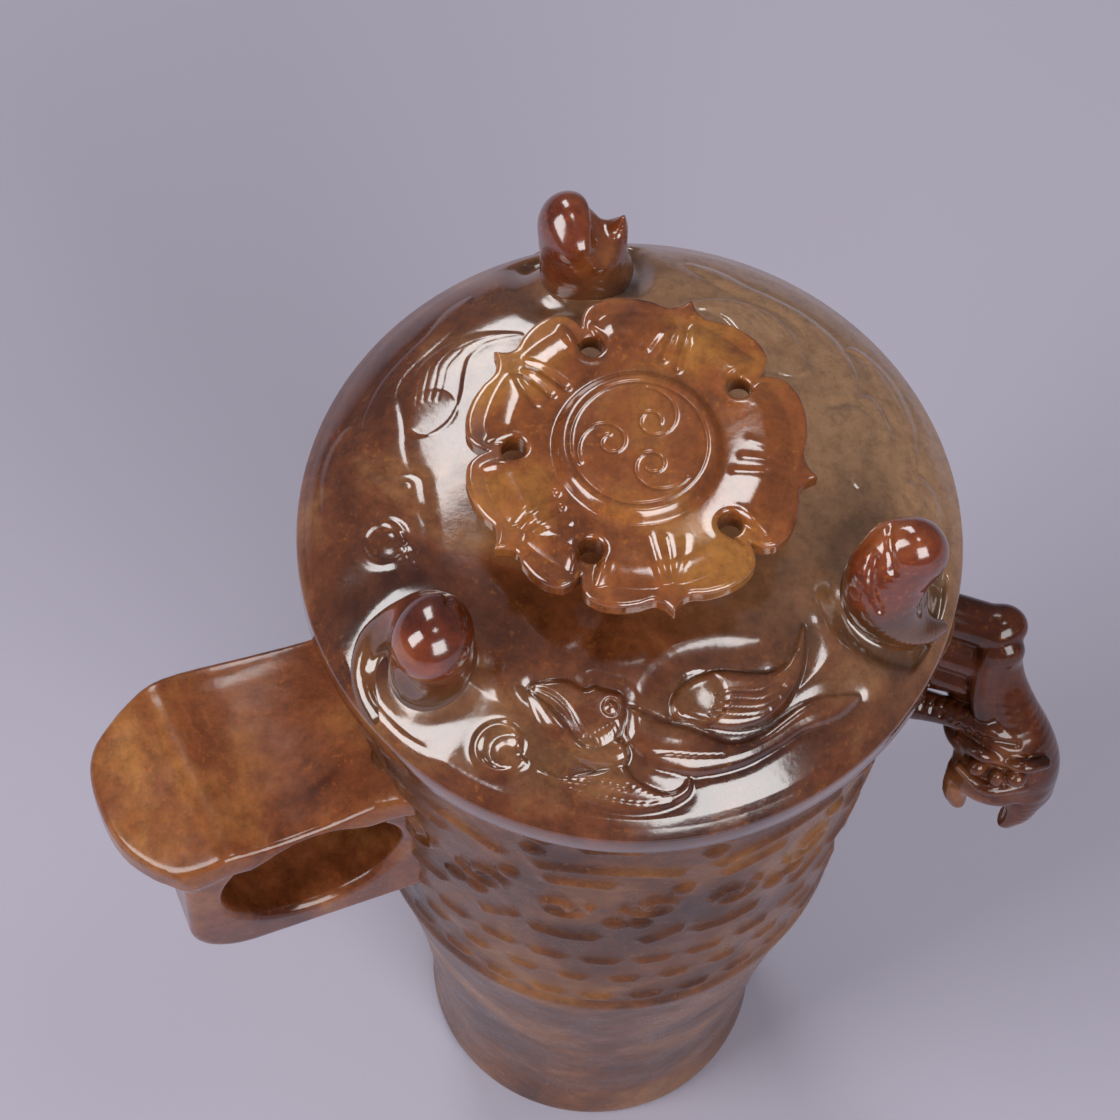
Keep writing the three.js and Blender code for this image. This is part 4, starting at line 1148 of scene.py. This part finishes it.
def build_ring_handle():
    """The finger ring with its round bore, and the saddle-shaped plate that closes it above."""
    reach, height = RING_CENTRE
    block = Block((28, -14.5, height - RING_HALF - 1), (64.5, 13, PLATE_TOP + 1), RING_STEP)
    plan = block.plan()
    ridge = PLATE_RIDGE[0] + PLATE_RIDGE[1] * (plan[:, 1] + 2)
    middle = (ridge + RIM_RADIUS) / 2
    saddle = PLATE_TOP - PLATE_DIP * (1 - ((plan[:, 0] - middle) / (ridge - middle)) ** 2)
    slope = PLATE_TOP + 0.15 - PLATE_FALL * (plan[:, 0] - ridge) / (max(PLATE_PLAN)[0] - PLATE_RIDGE[0])
    top = block.over_plan(merged(np.minimum(saddle, PLATE_TOP + 1), slope, 0.9))
    outline = block.over_plan(beyond(plan, smooth_line(PLATE_PLAN, 3, True), 12))
    slab = np.maximum(block.z - top, top - PLATE_THICKNESS - block.z)
    block.add(rounded(outline, slab, 0.9))
    across = np.abs(block.x - reach) - RING_HALF + RING_CORNER
    along = np.abs(block.z - height) - RING_HALF + RING_CORNER
    along = np.where(block.z > height, -RING_CORNER, along)
    corner = np.hypot(np.maximum(across, 0), np.maximum(along, 0))
    outer = corner + np.minimum(np.maximum(across, along), 0) - RING_CORNER
    inward = block.x < reach
    outer = np.where(inward, np.maximum(height - RING_HALF - block.z, block.x - reach - RING_HALF), outer)
    bore = np.hypot(block.x - BORE_CENTRE[0], block.z - BORE_CENTRE[1]) - BORE_RADIUS
    band = np.maximum(outer, block.z - top + 1.5)
    ring = rounded(np.maximum(band, -bore), np.abs(block.y) - RING_HALF_WIDTH, 1.3)
    block.add(ring, 2.2)
    lip = 0.5 * smoothstep((np.abs(block.y) - RING_HALF_WIDTH + 1.6) / 1.6) ** 2
    block.cut(bore - lip, 0.5)
    sink_into_wall(block)
    points, quads = block.skin()
    handle = make_object("ring_handle_carved", placed(points, RING_BEARING), quads)
    finish_piece(handle, "handle_stone", "cup", "handle_jade", "finger_ring", "thumb_plate")


def build_dragon():
    """A crouching dragon whose rump, flank and chest stand off the bowl, with its head turned down."""
    block = Block((29, -9.5, 94), (55, 9, 132.5), DRAGON_STEP)
    for places, radii, soft in DRAGON_SHAPES:
        shape = block.limb if isinstance(places, list) else block.ball
        block.add(shape(places, radii), soft)
    block.cut(block.ball(*MOUTH), 0.6)
    sink_into_wall(block)
    points, quads = block.skin()
    cuts = list(FACE_CUTS)
    for k in range(BEAD_COUNT):
        place = FIRST_BEAD + BEAD_PITCH * k
        cuts.append(([(place, -2.6, 117.4), (place, 0.2, 118.4)], 0.25, 0.22))
    for k in range(BACK_RIDGE_COUNT):
        across, height = 3.2 - 1.2 * k, 126.0 - 2.3 * k
        cuts.append(([(40.6, across, height), (43.6, across, height + 0.2)], 0.4, 0.35))
    points, sunk = engraved(points, quads, cuts)
    dragon = make_object("dragon_carved", placed(points, DRAGON_BEARING), quads)
    # Painted shade: the dragon's colour is darkened in its engraved lines, the more the deeper
    mark(dragon, "carved", sunk * DRAGON_PAINTED_SHADE)
    finish_piece(dragon, "dragon_stone", "cup", "handle_jade", "dragon_handle")


# Floor, lights and camera


def build_stage():
    """The pale floor and the even light from all round."""
    corners = np.array([(-1, -1, 0), (1, -1, 0), (1, 1, 0), (-1, 1, 0)]) * FLOOR_REACH
    floor = make_object("floor", corners, [[0, 1, 2, 3]])
    material = bpy.data.materials.new("floor_pale")
    material.use_nodes = True
    shader = material.node_tree.nodes["Principled BSDF"]
    set_inputs(shader, {"Base Color": (*linear(*FLOOR_COLOUR), 1), "Roughness": FLOOR_ROUGHNESS})
    floor.data.materials.append(material)

    world = bpy.data.worlds.new("studio")
    world.use_nodes = True
    background = world.node_tree.nodes["Background"]
    set_inputs(background, {"Color": (*linear(*WORLD_COLOUR), 1), "Strength": WORLD_STRENGTH})
    bpy.context.scene.world = world


def softbox(name, bearing, height, width, tall):
    """An oblong lamp a metre from the lid, which it faces."""
    lamp = bpy.data.lights.new(name, "AREA")
    lamp.shape = "RECTANGLE"
    lamp.size = width
    lamp.size_y = tall
    lamp.energy = LAMP_RADIANCE * math.pi * width * tall
    holder = put_in_scene(name, lamp)
    rise = math.radians(height)
    towards = Vector((*ring_point(math.cos(rise), bearing - 90), math.sin(rise)))
    holder.location = Vector((0, 0, LID_CROWN * MM)) + towards
    holder.rotation_mode = "QUATERNION"
    holder.rotation_quaternion = towards.to_track_quat("Z", "Y")


def build_camera():
    data = bpy.data.cameras.new("camera")
    data.lens = CAMERA_LENS
    data.sensor_width = CAMERA_SENSOR
    camera = put_in_scene("camera", data)
    tilt = Matrix.Rotation(math.pi / 2 - CAMERA_TILT, 4, "X")
    camera.matrix_world = Matrix.Translation(CAMERA_PLACE) @ tilt @ Matrix.Rotation(CAMERA_ROLL, 4, "Z")
    bpy.context.scene.camera = camera


build_cup()
build_ring_handle()
build_dragon()
build_lid()
for number, sizes in enumerate(zip(HOOK_BEARINGS, HOOK_REACHES), 1):
    build_hook(number, *sizes)
build_flower()
build_stem()
build_stage()
for name, place in LAMPS.items():
    softbox(name, *place)
build_camera()
bpy.context.scene.view_settings.view_transform = "Standard"
